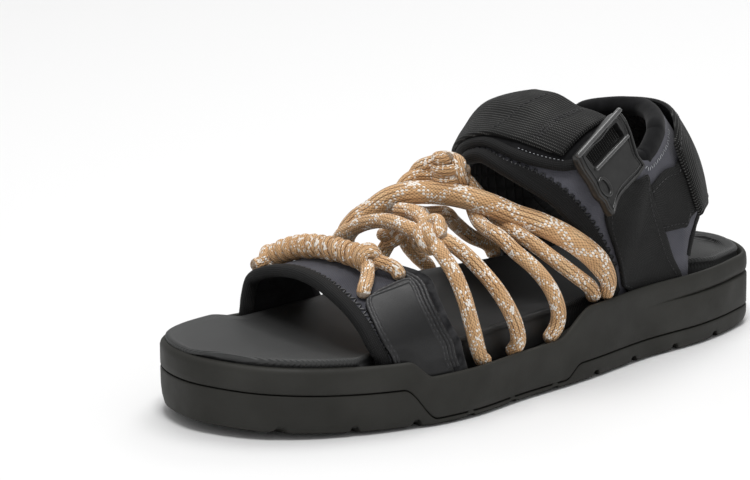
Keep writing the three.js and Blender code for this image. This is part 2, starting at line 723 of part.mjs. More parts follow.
function makeLacing(lacing) {
  const chosen = Object.values(ROPES).filter((r) => r.lacing === lacing);
  const ropes = chosen.map(({ side, thick, route }) => {
    const points = route.map((p) => (p.length === 1 ? channelPoint(p[0], side) : place(...p)));
    const thin = ropeDiameter / 2;
    const full = thick ? mainRopeDiameter / 2 : thin;
    const radius = (t) => mix(thin, full, step(t, 0, 0.12) * (1 - step(t, 0.72, 0.9)));
    return ropeSolid(points, radius, Math.round(1.55 * route.length));
  });
  const knots = KNOTS[lacing].map(([along, across, up, size]) =>
    knotSolid(place(along, across, up), size * knotSize),
  );
  return joined([...ropes, ...knots]);
}

// The rope roll on the toe strap and its four tails
function makeToeWrap() {
  const radius = wrapDiameter / 2;
  const rise = bindingStep + radius;
  const roll = [[0.27, 0.38, 0.5], [0.34, 0.5, 1.2], [0.42, 0.6, 1], [0.5, 0.65, 0.5], [0.57, 0.655, 0],
    [0.64, 0.64, 0]];
  const thin = ropeDiameter / 2;
  const tail = (route) =>
    ropeSolid(route.map(([across, t, off]) => vampAt(across, t, off)), even(thin), 6);
  const low = thin + clearance;
  return joined([
    ropeSolid(roll.map(([across, t, lift]) => vampAt(across, t, rise + lift)), even(radius), 12),
    tail([[0.62, 0.64, rise], [0.662, 0.5, low + tailLift], [0.69, 0.38, low], [0.71, 0.27, low]]),
    tail([[0.62, 0.64, rise], [0.655, 0.72, rise - tailSink], [0.687, 0.75, low + tailSink]]),
    tail([[0.3, 0.42, rise], [0.294, 0.3, low + tailLift], [0.283, 0.2, low], [0.275, 0.13, low]]),
    tail([[0.3, 0.42, rise], [0.3, 0.55, rise - tailSink], [0.308, 0.68, low + tailSink]]),
  ]);
}

// Buckle: one plate with a waist and a slot, lying outside the ankle strap
const BUCKLE_OUTLINE = [
  // along the bar, down, in shares of the buckle's width
  [-0.6, -0.02],
  [-0.13, -0.04],
  [0.3, -0.05],
  [0.39, -0.02],
  [0.41, 0.08],
  [0.38, 0.24],
  [0.32, 0.4],
  [0.26, 0.55],
  [0.27, 0.7],
  [0.1, 0.73],
  [-0.37, 0.73],
  [-0.49, 0.76],
  [-0.64, 0.83],
  [-0.63, 0.74],
  [-0.61, 0.64],
  [-0.65, 0.54],
  [-0.63, 0.38],
  [-0.64, 0.15],
];
const BUCKLE_SLOT = [
  [-0.48, 0.06],
  [-0.45, 0.24],
  [0.26, 0.24],
  [0.26, 0.05],
];
function makeBuckle() {
  const point = ([along, down]) => new THREE.Vector2(along * buckleWidth, -down * buckleWidth);
  const shape = new THREE.Shape(BUCKLE_OUTLINE.map(point));
  shape.holes.push(new THREE.Path(BUCKLE_SLOT.map(point)));
  const plate = new THREE.ExtrudeGeometry(shape, {
    depth: buckleThickness - 2 * buckleBevel,
    bevelEnabled: true,
    bevelSize: buckleBevel,
    bevelOffset: -buckleBevel,
    bevelThickness: buckleBevel,
    bevelSegments: 1,
  });
  plate.translate(0, 0, buckleBevel);
  const bar = place(-0.143, 0.298, 0.915);
  const along = new THREE.Vector3(-0.901, -0.255, 0.351).normalize();
  const down = new THREE.Vector3(-0.409, 0.308, -0.859).normalize();
  const out = new THREE.Vector3().crossVectors(down, along).normalize();
  const up = new THREE.Vector3().crossVectors(out, along);
  const turn = new THREE.Matrix4().makeBasis(along, up, out).setPosition(bar);
  plate.applyMatrix4(turn);
  return solidOfGeometry(plate);
}

const black = (color, roughness) =>
  new THREE.MeshStandardMaterial({ color, roughness, metalness: 0 });
const rubber = black(0x2c2c2a, 0.75);
const foam = black(0x343431, 0.8);
const insole = black(0x3a3b3c, 0.85);
const neoprene = black(0x55555f, 0.9);
const leather = black(0x242426, 0.5);
const webbing = black(0x202021, 0.85);
const plastic = black(0x1b1b1c, 0.35);
const rope = black(0xc39a63, 0.8);

const sandal = new THREE.Group();
const outlineX = outline.map((o) => o.x);
const outlineY = outline.map((o) => o.y);
sandal.position.x = -(Math.max(...outlineX) + Math.min(...outlineX)) / 2;
sandal.position.y = -(Math.max(...outlineY) + Math.min(...outlineY)) / 2;

function add(name, solid, material) {
  const mesh = new THREE.Mesh(geometryOf(solid), material);
  mesh.name = name;
  sandal.add(mesh);
}

add("outsole", makeOutsole(), rubber);
add("midsole", makeMidsole(), foam);
add("footbed", makeFootbed(), insole);
add("toe_strap", makeToeStrap(), neoprene);
add("toe_panel_lateral", makeToePanel(1), leather);
add("toe_panel_medial", makeToePanel(-1), leather);
add("toe_wrap", makeToeWrap(), rope);
add("ankle_strap", makeAnkleStrap(), neoprene);
add("instep_flap", makeInstepFlap(), webbing);
add("instep_webbing", makeInstepWebbing(), webbing);
add("side_webbing", makeSideWebbing(), webbing);
add("heel_webbing", makeHeelWebbing(), webbing);
add("heel_flap", makeHeelFlap(), webbing);
add("buckle", makeBuckle(), plastic);
add("front_lacing", makeLacing("front"), rope);
add("rear_lacing", makeLacing("rear"), rope);

export default sandal;
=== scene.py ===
import math

import bmesh
import bpy
import numpy as np
from mathutils import Matrix, Vector


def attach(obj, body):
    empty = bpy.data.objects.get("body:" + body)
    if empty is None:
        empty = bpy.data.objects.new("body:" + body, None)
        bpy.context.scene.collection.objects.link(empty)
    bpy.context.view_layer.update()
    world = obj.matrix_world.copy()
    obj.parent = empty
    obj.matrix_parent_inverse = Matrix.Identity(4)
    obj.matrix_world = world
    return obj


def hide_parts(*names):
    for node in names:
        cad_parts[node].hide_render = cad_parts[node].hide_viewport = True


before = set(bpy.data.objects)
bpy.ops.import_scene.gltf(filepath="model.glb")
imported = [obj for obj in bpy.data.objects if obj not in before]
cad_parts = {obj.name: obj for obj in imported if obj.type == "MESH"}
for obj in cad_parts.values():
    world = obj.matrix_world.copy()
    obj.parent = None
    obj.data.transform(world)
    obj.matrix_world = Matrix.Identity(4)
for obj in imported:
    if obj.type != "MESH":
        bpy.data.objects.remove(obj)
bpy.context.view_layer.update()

# Sizes of the part, in millimetres, as its source has them
SOLE = 292
BALL = 109
HIGH = 110
SHIFT = np.array([0.0366, -2.1574, 0])
TOE_SPRING = 3.7
TREAD = 2.2
TREAD_EDGE = 2.6
HEEL_BAND = 8
TOE_BAND = 16.6
BUMPER_TOP = 28.1
MID_TOP = 20.5
HEEL_TOP = 31.3
LIP = 2.6
CHANNEL = 4.2
LUG_SPACING = 26
LUG_GROOVE = 4.2
LUG_DEPTH = 3.4
LUG_SHIFT = 3.8
VAMP_WALL = 3
BINDING = 0.8
PANEL = 1.6
ANKLE_WALL = 4
COLLAR = 2.4
FLAP = 2.4
WEB = 1.6
HEEL_FLAP = 2
ROPE = 6.5
MAIN_ROPE = 9
CLEAR = 0.35
LAYER = 2 * CLEAR

# The sole's outline: shares of the sole's length and of the ball width.
OUTLINE = [
  # along, lateral, medial
  [-0.5, 0.002, 0.002],
  [-0.47, 0.215, -0.194],
  [-0.42, 0.283, -0.295],
  [-0.34, 0.34, -0.337],
  [-0.22, 0.365, -0.335],
  [-0.08, 0.436, -0.331],
  [0.05, 0.474, -0.365],
  [0.16, 0.52, -0.426],
  [0.25, 0.503, -0.473],
  [0.34, 0.434, -0.477],
  [0.41, 0.339, -0.433],
  [0.46, 0.219, -0.349],
  [0.49, 0.065, -0.212],
  [0.5, -0.053, -0.053],
]

# The footbed's rim and its middle: heights in shares of the heel cup's height.
FOOTBED = [
  # along, lateral rim, medial rim, middle
  [-0.5, 1.06, 1.06, 1.0],
  [-0.35, 1.1, 1.1, 0.97],
  [-0.2, 1.05, 1.15, 1.0],
  [0, 0.99, 1.2, 1.02],
  [0.1, 0.98, 1.16, 1.0],
  [0.2, 0.98, 1.03, 0.96],
  [0.32, 0.98, 0.95, 0.93],
  [0.5, 0.98, 0.93, 0.92],
]

# Toe strap, from its inner base over the toes to its outer base: shares of the sole's length,
# the ball width and the upper's height, along the front edge and along the rear edge.
VAMP = [
  # across, front x y z, rear x y z
  [0, 0.291, -0.425, 0.236, 0.154, -0.372, 0.164],
  [0.07, 0.291, -0.429, 0.282, 0.159, -0.381, 0.245],
  [0.17, 0.286, -0.431, 0.345, 0.171, -0.39, 0.327],
  [0.25, 0.281, -0.417, 0.405, 0.182, -0.367, 0.409],
  [0.33, 0.283, -0.353, 0.445, 0.192, -0.303, 0.468],
  [0.42, 0.284, -0.229, 0.482, 0.204, -0.183, 0.514],
  [0.5, 0.29, -0.092, 0.5, 0.205, -0.046, 0.527],
  [0.58, 0.297, 0.046, 0.495, 0.199, 0.073, 0.53],
  [0.66, 0.305, 0.165, 0.473, 0.187, 0.193, 0.523],
  [0.74, 0.31, 0.266, 0.439, 0.175, 0.312, 0.5],
  [0.82, 0.312, 0.358, 0.386, 0.182, 0.39, 0.439],
  [0.9, 0.311, 0.413, 0.327, 0.179, 0.445, 0.355],
  [0.96, 0.301, 0.429, 0.273, 0.164, 0.463, 0.273],
  [1, 0.291, 0.428, 0.236, 0.151, 0.471, 0.164],
]

# Ankle strap, from the instep (0) round to the back of the heel (1): shares of the sole's
# length, the ball width and the upper's height. The swell is in shares of the ankle wall.
ANKLE = [
  # around, lower x, lateral y, medial y, z, upper x, lateral y, medial y, z, swell
  [0, -0.019, 0, 0, 0.832, -0.171, 0, 0, 0.936, 0.4],
  [0.1, -0.022, 0.11, 0.101, 0.8, -0.176, 0.101, 0.092, 0.923, 1],
  [0.2, -0.038, 0.197, 0.183, 0.745, -0.188, 0.188, 0.174, 0.905, 1.75],
  [0.3, -0.063, 0.275, 0.252, 0.677, -0.199, 0.252, 0.234, 0.873, 2.25],
  [0.4, -0.089, 0.33, 0.298, 0.591, -0.212, 0.289, 0.271, 0.823, 1.5],
  [0.5, -0.12, 0.353, 0.317, 0.473, -0.226, 0.307, 0.284, 0.791, 0.8],
  [0.57, -0.147, 0.361, 0.312, 0.345, -0.238, 0.312, 0.289, 0.786, 0.6],
  [0.6, -0.166, 0.348, 0.293, 0.249, -0.243, 0.312, 0.289, 0.786, 0.5],
  [0.7, -0.24, 0.318, 0.29, 0.249, -0.262, 0.294, 0.275, 0.809, 0.5],
  [0.8, -0.318, 0.298, 0.292, 0.249, -0.288, 0.252, 0.243, 0.855, 0.6],
  [0.83, -0.327, 0.29, 0.284, 0.345, -0.296, 0.229, 0.22, 0.873, 0.75],
  [0.88, -0.346, 0.268, 0.26, 0.436, -0.31, 0.183, 0.179, 0.886, 0.9],
  [0.94, -0.384, 0.174, 0.174, 0.464, -0.329, 0.101, 0.101, 0.9, 1],
  [1, -0.404, 0, 0, 0.473, -0.341, 0, 0, 0.905, 1],
]

# Rope routes: shares of the sole's length, the ball width and the upper's height. A route that
# starts or ends with one number dips into the sole's channel there, at that share of the length.
ROPES = {
  "firstLoop": {
    "lacing": "front",
    "side": 1,
    "route": [[0.118], [0.127, 0.455, 0.2], [0.146, 0.468, 0.327], [0.153, 0.44, 0.444],
      [0.151, 0.376, 0.522], [0.147, 0.294, 0.575], [0.139, 0.202, 0.614]],
  },
  "secondLoop": {
    "lacing": "front",
    "side": 1,
    "route": [[0.056], [0.053, 0.44, 0.218], [0.062, 0.454, 0.295], [0.083, 0.44, 0.41],
      [0.094, 0.367, 0.493], [0.109, 0.294, 0.565], [0.125, 0.248, 0.606], [0.139, 0.202, 0.614]],
  },
  "thirdLoop": {
    "lacing": "rear",
    "side": 1,
    "route": [[-0.021], [-0.029, 0.414, 0.24], [-0.028, 0.425, 0.3], [-0.019, 0.413, 0.379],
      [-0.006, 0.367, 0.454], [0.015, 0.312, 0.524], [0.024, 0.248, 0.574], [0.015, 0.156, 0.577],
      [0.004, 0.064, 0.592], [-0.01, -0.018, 0.632], [-0.015, -0.073, 0.7], [0.004, -0.083, 0.767]],
  },
  "fourthLoop": {
    "lacing": "rear",
    "side": 1,
    "route": [[-0.117, 0.36, 0.3], [-0.105, 0.377, 0.341], [-0.073, 0.368, 0.412],
      [-0.047, 0.323, 0.478], [-0.029, 0.268, 0.531], [-0.019, 0.202, 0.567],
      [-0.027, 0.092, 0.582], [-0.034, 0.009, 0.618], [-0.03, -0.037, 0.655],
      [-0.018, -0.073, 0.709], [0.004, -0.083, 0.767]],
  },
  "mainRope": {
    "lacing": "rear",
    "side": -1,
    "thick": True,
    "route": [[-0.139, 0.366, 0.3], [-0.134, 0.392, 0.356], [-0.11, 0.398, 0.45],
      [-0.078, 0.347, 0.535], [-0.053, 0.253, 0.586], [-0.03, 0.174, 0.615],
      [-0.01, 0.092, 0.65], [0.008, 0, 0.672], [0.025, -0.101, 0.678], [0.05, -0.183, 0.674],
      [0.07, -0.248, 0.649], [0.086, -0.303, 0.599], [0.101, -0.349, 0.556],
      [0.111, -0.385, 0.495], [0.111, -0.38, 0.382], [0.11, -0.36, 0.26], [0.11]],
  },
  "frontArch": {
    "lacing": "front",
    "side": -1,
    "route": [[0.144], [0.146, -0.372, 0.345], [0.142, -0.358, 0.455], [0.138, -0.321, 0.521],
      [0.139, -0.266, 0.553], [0.139, -0.183, 0.595], [0.139, -0.083, 0.625],
      [0.142, 0.018, 0.635], [0.145, 0.11, 0.632], [0.139, 0.202, 0.614]],
  },
  "crossRope": {
    "lacing": "front",
    "side": -1,
    "route": [[-0.137, -0.283, 0.33], [-0.13, -0.289, 0.364], [-0.089, -0.275, 0.423],
      [-0.048, -0.239, 0.5], [-0.012, -0.183, 0.564], [0.041, -0.142, 0.595],
      [0.082, -0.106, 0.632], [0.107, -0.073, 0.653], [0.11, 0.009, 0.663],
      [0.117, 0.092, 0.655], [0.131, 0.165, 0.636], [0.139, 0.202, 0.614]],
  },
  "medialLoopFront": {
    "lacing": "rear",
    "side": -1,
    "route": [[0.055], [0.058, -0.335, 0.273], [0.06, -0.339, 0.391], [0.046, -0.321, 0.473],
      [0.043, -0.317, 0.545], [0.041, -0.303, 0.618], [0.032, -0.266, 0.696],
      [0.02, -0.239, 0.717], [0.005, -0.156, 0.729], [0.004, -0.083, 0.755]],
  },
  "medialLoopRear": {
    "lacing": "rear",
    "side": -1,
    "route": [[-0.031], [-0.027, -0.31, 0.255], [-0.023, -0.318, 0.318], [-0.003, -0.325, 0.373],
      [0.02, -0.321, 0.449], [0.017, -0.326, 0.545], [0.017, -0.294, 0.655],
      [0.014, -0.261, 0.732], [0.011, -0.208, 0.765], [0.002, -0.138, 0.782], [0.004, -0.083, 0.773]],
  },
}
# Knots of the lacing: places as shares of the length, the ball width and the upper's height.
KNOTS = {
  "front": [[0.139, 0.202, 0.614]],
  "rear": [[0.004, -0.083, 0.767], [0.045, -0.317, 0.48]],
}

# Buckle: shares of its width, along its bar and down.
BUCKLE_OUTLINE = [
  [-0.6, -0.02], [-0.13, -0.04], [0.3, -0.05], [0.39, -0.02], [0.41, 0.08], [0.38, 0.24],
  [0.32, 0.4], [0.26, 0.55], [0.27, 0.7], [0.1, 0.73], [-0.37, 0.73], [-0.49, 0.76],
  [-0.64, 0.83], [-0.63, 0.74], [-0.61, 0.64], [-0.65, 0.54], [-0.63, 0.38], [-0.64, 0.15],
]
BUCKLE_SLOT = [[-0.48, 0.06], [-0.45, 0.24], [0.26, 0.24], [0.26, 0.05]]

# Where the sole's heights change: start and end of each change, in shares of its length.
TOE_CUP = (0.226, 0.267)
HEEL_CUP = (-0.095, -0.017)
TOE_RUBBER = (0.222, 0.276)
HEEL_RUBBER = (-0.07, -0.035)
TOE_SEAT = (0.2, 0.36)
HEEL_SEAT = (-0.2, 0.02)
TOE_START = 0.22 * SOLE

# Where a strap goes from standing upright in the cup to leaning freely: heights above the cup.
HOLD = (0.5, 5)
# Shares of the toe strap and of the ankle strap's height that sit on the sole's channel.
VAMP_BASE = 0.05
ANKLE_BASE = 0.1
# Where the ankle strap stands in the channel, in its numbers from instep to heel.
BASE_START = 0.585
BASE_END = 0.815
VAMP_INSET = LIP + PANEL + 3 * CLEAR
ANKLE_INSET = LIP + WEB + 3 * CLEAR
NUDGE = 1e-3
RIM_POINTS = 2600
OVERLAP = 6


def step(x, low, high):
    t = np.clip((np.asarray(x, float) - low) / (high - low), 0, 1)
    return t * t * (3 - 2 * t)


def along_step(x, span):
    """A step over a span that is given in shares of the sole's length."""
    return step(x, span[0] * SOLE, span[1] * SOLE)


def mix(a, b, t):
    return a + (b - a) * t


def crossed(first, second):
    """Two lists of surface numbers as arrays of all their pairs."""
    return np.meshgrid(first, second, indexing="ij")


def smooth_table(rows):
    rows = np.array(rows, float)
    keys = rows[:, 0]
    last = len(rows) - 1
    slopes = np.array([
        (rows[min(i + 1, last)] - rows[max(i - 1, 0)])
        / (keys[min(i + 1, last)] - keys[max(i - 1, 0)])
        for i in range(len(rows))
    ])

    def at(key):
        key = np.asarray(key, float)
        i = np.clip(np.searchsorted(keys, key) - 1, 0, last - 1)
        span = (keys[i + 1] - keys[i])[..., None]
        t = np.clip((key - keys[i])[..., None] / span, 0, 1)
        turn = (3 * t**2 - 2 * t**3) * (rows[i + 1] - rows[i])
        leave = t * (1 - t) ** 2 * span * slopes[i]
        arrive = t**2 * (1 - t) * span * slopes[i + 1]
        return rows[i] + turn + leave - arrive

    return at


def spline(points, count, closed=False):
    """Centripetal Catmull-Rom curve through points, count + 1 places at even parameters."""
    points = np.array(points, float)
    total = len(points)
    spans = total if closed else total - 1
    made = []
    for k in range(count + 1):
        p = spans * k / count
        i = min(int(p), spans - 1)
        w = p - i
        if closed:
            p0, p1, p2, p3 = (points[(i + d) % total] for d in (-1, 0, 1, 2))
        else:
            p1, p2 = points[i], points[i + 1]
            p0 = points[i - 1] if i > 0 else 2 * points[0] - points[1]
            p3 = points[i + 2] if i + 2 < total else 2 * points[-1] - points[-2]
        d0, d1, d2 = (
            max(np.linalg.norm(b - a), 1e-4) ** 0.5 for a, b in ((p0, p1), (p1, p2), (p2, p3))
        )
        m1 = ((p1 - p0) / d0 - (p2 - p0) / (d0 + d1) + (p2 - p1) / d1) * d1
        m2 = ((p2 - p1) / d1 - (p3 - p1) / (d1 + d2) + (p3 - p2) / d2) * d1
        made.append(
            p1 + m1 * w + (-3 * p1 + 3 * p2 - 2 * m1 - m2) * w**2
            + (2 * p1 - 2 * p2 + m1 + m2) * w**3
        )
    return np.array(made)


def resampled(points, count):
    """The polyline at count + 1 places, evenly spaced along its length."""
    lengths = np.r_[0, np.cumsum(np.linalg.norm(np.diff(points, axis=0), axis=1))]
    wanted = np.linspace(0, lengths[-1], count + 1)
    return np.stack([np.interp(wanted, lengths, points[:, c]) for c in range(3)], -1)


def place(along, across, up):
    return np.stack(np.broadcast_arrays(
        np.asarray(along) * SOLE, np.asarray(across) * BALL, np.asarray(up) * HIGH
    ), -1).astype(float)


# The outline of the sole as two chains from the heel's tip to the toe's tip
lateral_side = [(a * SOLE, y * BALL, 0) for a, y, _ in OUTLINE]
medial_side = [(a * SOLE, y * BALL, 0) for a, _, y in OUTLINE[1:-1]]
rim = spline(lateral_side + medial_side[::-1], RIM_POINTS, closed=True)[:-1]
rim = np.roll(rim, -int(np.argmin(rim[:, 0])), axis=0)
toe_tip = int(np.argmax(rim[:, 0]))
CHAINS = {1: rim[: toe_tip + 1], -1: np.r_[rim[toe_tip:], rim[:1]][::-1]}


def edge_y(x, side):
    lateral = np.interp(x, CHAINS[1][:, 0], CHAINS[1][:, 1])
    medial = np.interp(x, CHAINS[-1][:, 0], CHAINS[-1][:, 1])
    return np.where(np.asarray(side) > 0, lateral, medial)


def spring(x):
    """How far the underside rises towards the toe."""
    return TOE_SPRING * (np.maximum(0, np.asarray(x) - TOE_START) / (SOLE / 2 - TOE_START)) ** 2


def cup_top(x):
    toe, heel = along_step(x, TOE_CUP), 1 - along_step(x, HEEL_CUP)
    return MID_TOP + (BUMPER_TOP - MID_TOP) * toe + (HEEL_TOP - MID_TOP) * heel


def band_top(x):
    toe, heel = along_step(x, TOE_RUBBER), 1 - along_step(x, HEEL_RUBBER)
    return TREAD_EDGE + (TOE_BAND - TREAD_EDGE) * toe + (HEEL_BAND - TREAD_EDGE) * heel


def seat(x):
    toe, heel = along_step(x, TOE_SEAT), 1 - along_step(x, HEEL_SEAT)
    return MID_TOP - CHANNEL + (BUMPER_TOP - MID_TOP) * toe + (HEEL_TOP - MID_TOP) * heel


footbed_heights = smooth_table(FOOTBED)


def held(p):
    """1 where a strap stands upright in the cup, 0 where it leans freely above it."""
    return 1 - step(p[..., 2] - cup_top(p[..., 0]) - spring(p[..., 0]), *HOLD)


def unit(v):
    return v / np.maximum(np.linalg.norm(v, axis=-1, keepdims=True), 1e-12)


def facing(surface, u, v):
    along_u = surface(u + NUDGE, v) - surface(u - NUDGE, v)
    along_v = surface(u, v + NUDGE) - surface(u, v - NUDGE)
    out = unit(np.cross(along_u, along_v))
    out[..., 2] *= 1 - held(surface(u, v))
    return unit(out)


def between(row, t):
    low = place(row[..., 1], row[..., 2], row[..., 3])
    high = place(row[..., 4], row[..., 5], row[..., 6])
    return low + (high - low) * t[..., None]


vamp_rows = smooth_table(VAMP)


def vamp_surface(across, t):
    across, t = np.broadcast_arrays(np.asarray(across, float), np.asarray(t, float))
    p = between(vamp_rows(across), t)
    side = np.where(across < 0.5, -1, 1)
    low = 1 - step(np.minimum(across, 1 - across), 0, VAMP_BASE)
    x = p[..., 0]
    p[..., 2] = mix(p[..., 2], seat(x) + spring(x) + 2 * CLEAR, low)
    p[..., 1] = mix(p[..., 1], edge_y(x, side) - side * VAMP_INSET, held(p))
    return p


def vamp_at(across, t, off):
    across, t, off = np.broadcast_arrays(*(np.asarray(a, float) for a in (across, t, off)))
    return vamp_surface(across, t) + facing(vamp_surface, across, t) * off[..., None]


def is_base(around):
    return (np.abs(around) > BASE_START) & (np.abs(around) < BASE_END)


def ankle_half_row(row, side):
    """A row of the ankle's table for one side, with its foot in the channel where it stands."""
    around, low_x, low_lateral, low_medial, low_z, high_x, high_lateral, high_medial, high_z, swell = row
    low_y, high_y = (low_lateral, high_lateral) if side > 0 else (-low_medial, -high_medial)
    if is_base(around):
        x = low_x * SOLE
        low_y = float(edge_y(x, side) - side * ANKLE_INSET) / BALL
        low_z = float(seat(x) + CLEAR) / HIGH
    return [side * around, low_x, low_y, low_z, high_x, high_y, high_z, swell]


def ankle_table():
    outer = [ankle_half_row(row, 1) for row in ANKLE]
    inner = [ankle_half_row(row, -1) for row in ANKLE[1:-1]][::-1]
    before = [[row[0] - 2, *row[1:]] for row in outer[-OVERLAP:]]
    after = [[row[0] + 2, *row[1:]] for row in inner[:OVERLAP]]
    return before + inner + outer + after


ankle_rows = smooth_table(ankle_table())


def ankle_line(around, t):
    return between(ankle_rows(around), t)


def ankle_surface(around, t):
    around, t = np.broadcast_arrays(np.asarray(around, float), np.asarray(t, float))
    swell = ankle_rows(around)[..., 7] * ANKLE_WALL * np.sin(np.pi * np.clip(t, 0, 1))
    p = ankle_line(around, t) + facing(ankle_line, around, t) * swell[..., None]
    side = np.sign(p[..., 1])
    low = np.where(is_base(around), 1 - step(t, 0, ANKLE_BASE), 0)
    x = p[..., 0]
    p[..., 2] = mix(p[..., 2], seat(x) + 2 * CLEAR, low)
    p[..., 1] = mix(p[..., 1], edge_y(x, side) - side * ANKLE_INSET, held(p))
    return p


def ankle_at(around, t, off):
    around, t, off = np.broadcast_arrays(*(np.asarray(a, float) for a in (around, t, off)))
    return ankle_surface(around, t) + facing(ankle_surface, around, t) * off[..., None]


def ribbon_lines(first_edge, second_edge, steps, shares):
    """Surface numbers of a ribbon between two edges: arrays of steps + 1 by the shares."""
    first = spline([(u, v, 0) for u, v in first_edge], steps)
    second = spline([(u, v, 0) for u, v in second_edge], steps)
    shares = np.asarray(shares)[None, :]
    u = mix(first[:, :1], second[:, :1], shares)
    v = mix(first[:, 1:2], second[:, 1:2], shares)
    return u, v


MERGE = 1e-6
SLIVER = 1e-7


class Build:
    """A mesh made of patches. A patch is a grid of points with a material number and a texture in mm."""

    def __init__(self):
        self.points, self.faces, self.uvs, self.marks, self.count = [], [], [], [], 0

    def grid(self, points, uv=None, mark=0, flip=False):
        rows, columns = points.shape[:2]
        if uv is None:
            uv = grid_uv(points)
        index = self.count + np.arange(rows * columns).reshape(rows, columns)
        quads = np.stack(
            [index[:-1, :-1], index[1:, :-1], index[1:, 1:], index[:-1, 1:]], -1
        ).reshape(-1, 4)
        if flip:
            quads = quads[:, ::-1]
        self.points.append(points.reshape(-1, 3))
        self.uvs.append(uv.reshape(-1, 2))
        self.faces.append(quads)
        self.marks.append(np.full(len(quads), mark))
        self.count += rows * columns

    def mesh(self, name, materials, slot, replaces=(), sharp=42):
        points = np.concatenate(self.points)
        faces = np.concatenate(self.faces)
        uvs = np.concatenate(self.uvs)
        marks = np.concatenate(self.marks)
        data = bpy.data.meshes.new(name)
        data.from_pydata(((points + SHIFT) / 1000).tolist(), [], faces.tolist())
        layer = data.uv_layers.new(name="mm")
        layer.data.foreach_set("uv", uvs[faces.ravel()].astype(np.float32).ravel())
        for material in materials:
            data.materials.append(material)
        data.polygons.foreach_set("material_index", marks.astype(np.int32))
        shaped = bmesh.new()
        shaped.from_mesh(data)
        bmesh.ops.remove_doubles(shaped, verts=shaped.verts, dist=MERGE)
        bmesh.ops.dissolve_degenerate(shaped, dist=SLIVER, edges=shaped.edges)
        bmesh.ops.recalc_face_normals(shaped, faces=shaped.faces)
        shaped.to_mesh(data)
        shaped.free()
        data.polygons.foreach_set("use_smooth", [True] * len(data.polygons))
        data.set_sharp_from_angle(angle=math.radians(sharp))
        made = bpy.data.objects.new(name, data)
        bpy.context.scene.collection.objects.link(made)
        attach(made, "root")
        if replaces:
            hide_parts(*replaces)
        return made


def grid_uv(points):
    rows = np.linalg.norm(np.diff(points, axis=0), axis=2)
    columns = np.linalg.norm(np.diff(points, axis=1), axis=2)
    along = np.r_[0, np.cumsum(rows[:, points.shape[1] // 2])]
    uv = np.zeros(points.shape[:2] + (2,))
    uv[..., 0] = along[:, None]
    uv[:, 1:, 1] = np.cumsum(columns, axis=1)
    uv[..., 1] -= uv[:, points.shape[1] // 2, 1][:, None]
    return uv


# A sheet's edge is rounded: shares of its width close to the edge, and how far it has risen there
EDGE_SHARES = np.array([0, 0.006, 0.018, 0.04])
EDGE_LIFT = [0.35, 0.8, 0.96]
# Millimetres of texture that close a sheet which runs all the way round
CLOSING = 3


def edged(count):
    """Even shares with a few close to the ends, and how far the sheet has risen there."""
    shares = np.r_[EDGE_SHARES, np.linspace(0.07, 0.93, count), 1 - EDGE_SHARES[::-1]]
    lift = np.ones(len(shares))
    lift[:3] = EDGE_LIFT
    lift[-3:] = EDGE_LIFT[::-1]
    return shares, lift


def sheet(build, at, u, v, outer, inner, marks=(0, 0, 0), closed=False):
    """A wall between two offsets of a surface: its outer face, its inner face and its rims."""
    outside, inside = at(u, v, outer), at(u, v, inner)
    uv = grid_uv(outside)
    if closed:
        outside, inside, uv = (np.r_[a, a[:1]] for a in (outside, inside, uv))
        uv[-1, :, 0] = uv[-2, :, 0] + CLOSING
    build.grid(outside, uv, marks[0])
    build.grid(inside, uv, marks[1], flip=True)
    for j, flip in ((0, True), (-1, False)):
        rim_points = np.stack([outside[:, j], inside[:, j]], 1)
        build.grid(rim_points, np.stack([uv[:, j], uv[:, j]], 1), marks[2], flip)
    if not closed:
        for i, flip in ((0, False), (-1, True)):
            rim_points = np.stack([outside[i], inside[i]], 1)
            build.grid(rim_points, np.stack([uv[i], uv[i]], 1), marks[2], flip)


def fan(ring):
    """A patch from a ring of points to their middle."""
    return np.stack([ring, np.broadcast_to(ring.mean(0), ring.shape)], 1)


def lofted(build, path, normals, profile, mark=0):
    """Sweeps a profile (across, out), or one for each point, along a path with outward directions."""
    tangents = unit(np.gradient(path, axis=0))
    across = unit(np.cross(normals, tangents))
    normals = unit(np.cross(tangents, across))
    ring = np.concatenate([profile, profile[..., :1, :]], -2)
    points = path[:, None] + across[:, None] * ring[..., :1] + normals[:, None] * ring[..., 1:2]
    build.grid(points, None, mark)
    for end in (0, -1):
        build.grid(fan(points[end]), None, mark, flip=end == 0)


def oval(half_width, half_height, sides=12, power=2.0):
    turn = np.linspace(0, 2 * np.pi, sides, endpoint=False)
    c, s = np.cos(turn), np.sin(turn)
    x = np.sign(c) * np.abs(c) ** (2 / power) * half_width
    y = np.sign(s) * np.abs(s) ** (2 / power) * half_height
    return np.stack([x, y], -1)


# Kinds of stitches: pitch, length and radius in mm, and how far each thread is turned
SEAM = {"pitch": 2.6, "length": 1.8, "radius": 0.48}
RUNNING = {"pitch": 2.4, "length": 1.7, "radius": 0.26}
FINE = {"pitch": 1.7, "length": 0.9, "radius": 0.2}
ZIGZAG = {"pitch": 1.9, "length": 2.8, "radius": 0.45, "turn": 1.05, "zigzag": True}
BAR_TACK = {"pitch": 1.5, "length": 2.1, "radius": 0.3, "turn": 1.2, "zigzag": True}
FINE_ZIGZAG = {"pitch": 1.5, "length": 1.7, "radius": 0.22, "turn": 1.2, "zigzag": True}
THREAD_LIFT = 0.08
SEAM_SHADE_WIDTH = 0.75
# A thread's shape: places along it in shares of its length, its thickness and how far it sinks
THREAD_ENDS = np.array([-0.5, -0.42, 0, 0.42, 0.5])
THREAD_SIZES = np.array([0.05, 0.7, 1, 0.7, 0.05])
THREAD_DROP = np.array([-0.9, -0.25, 0, -0.25, -0.9])
THREAD_SIDES = 7


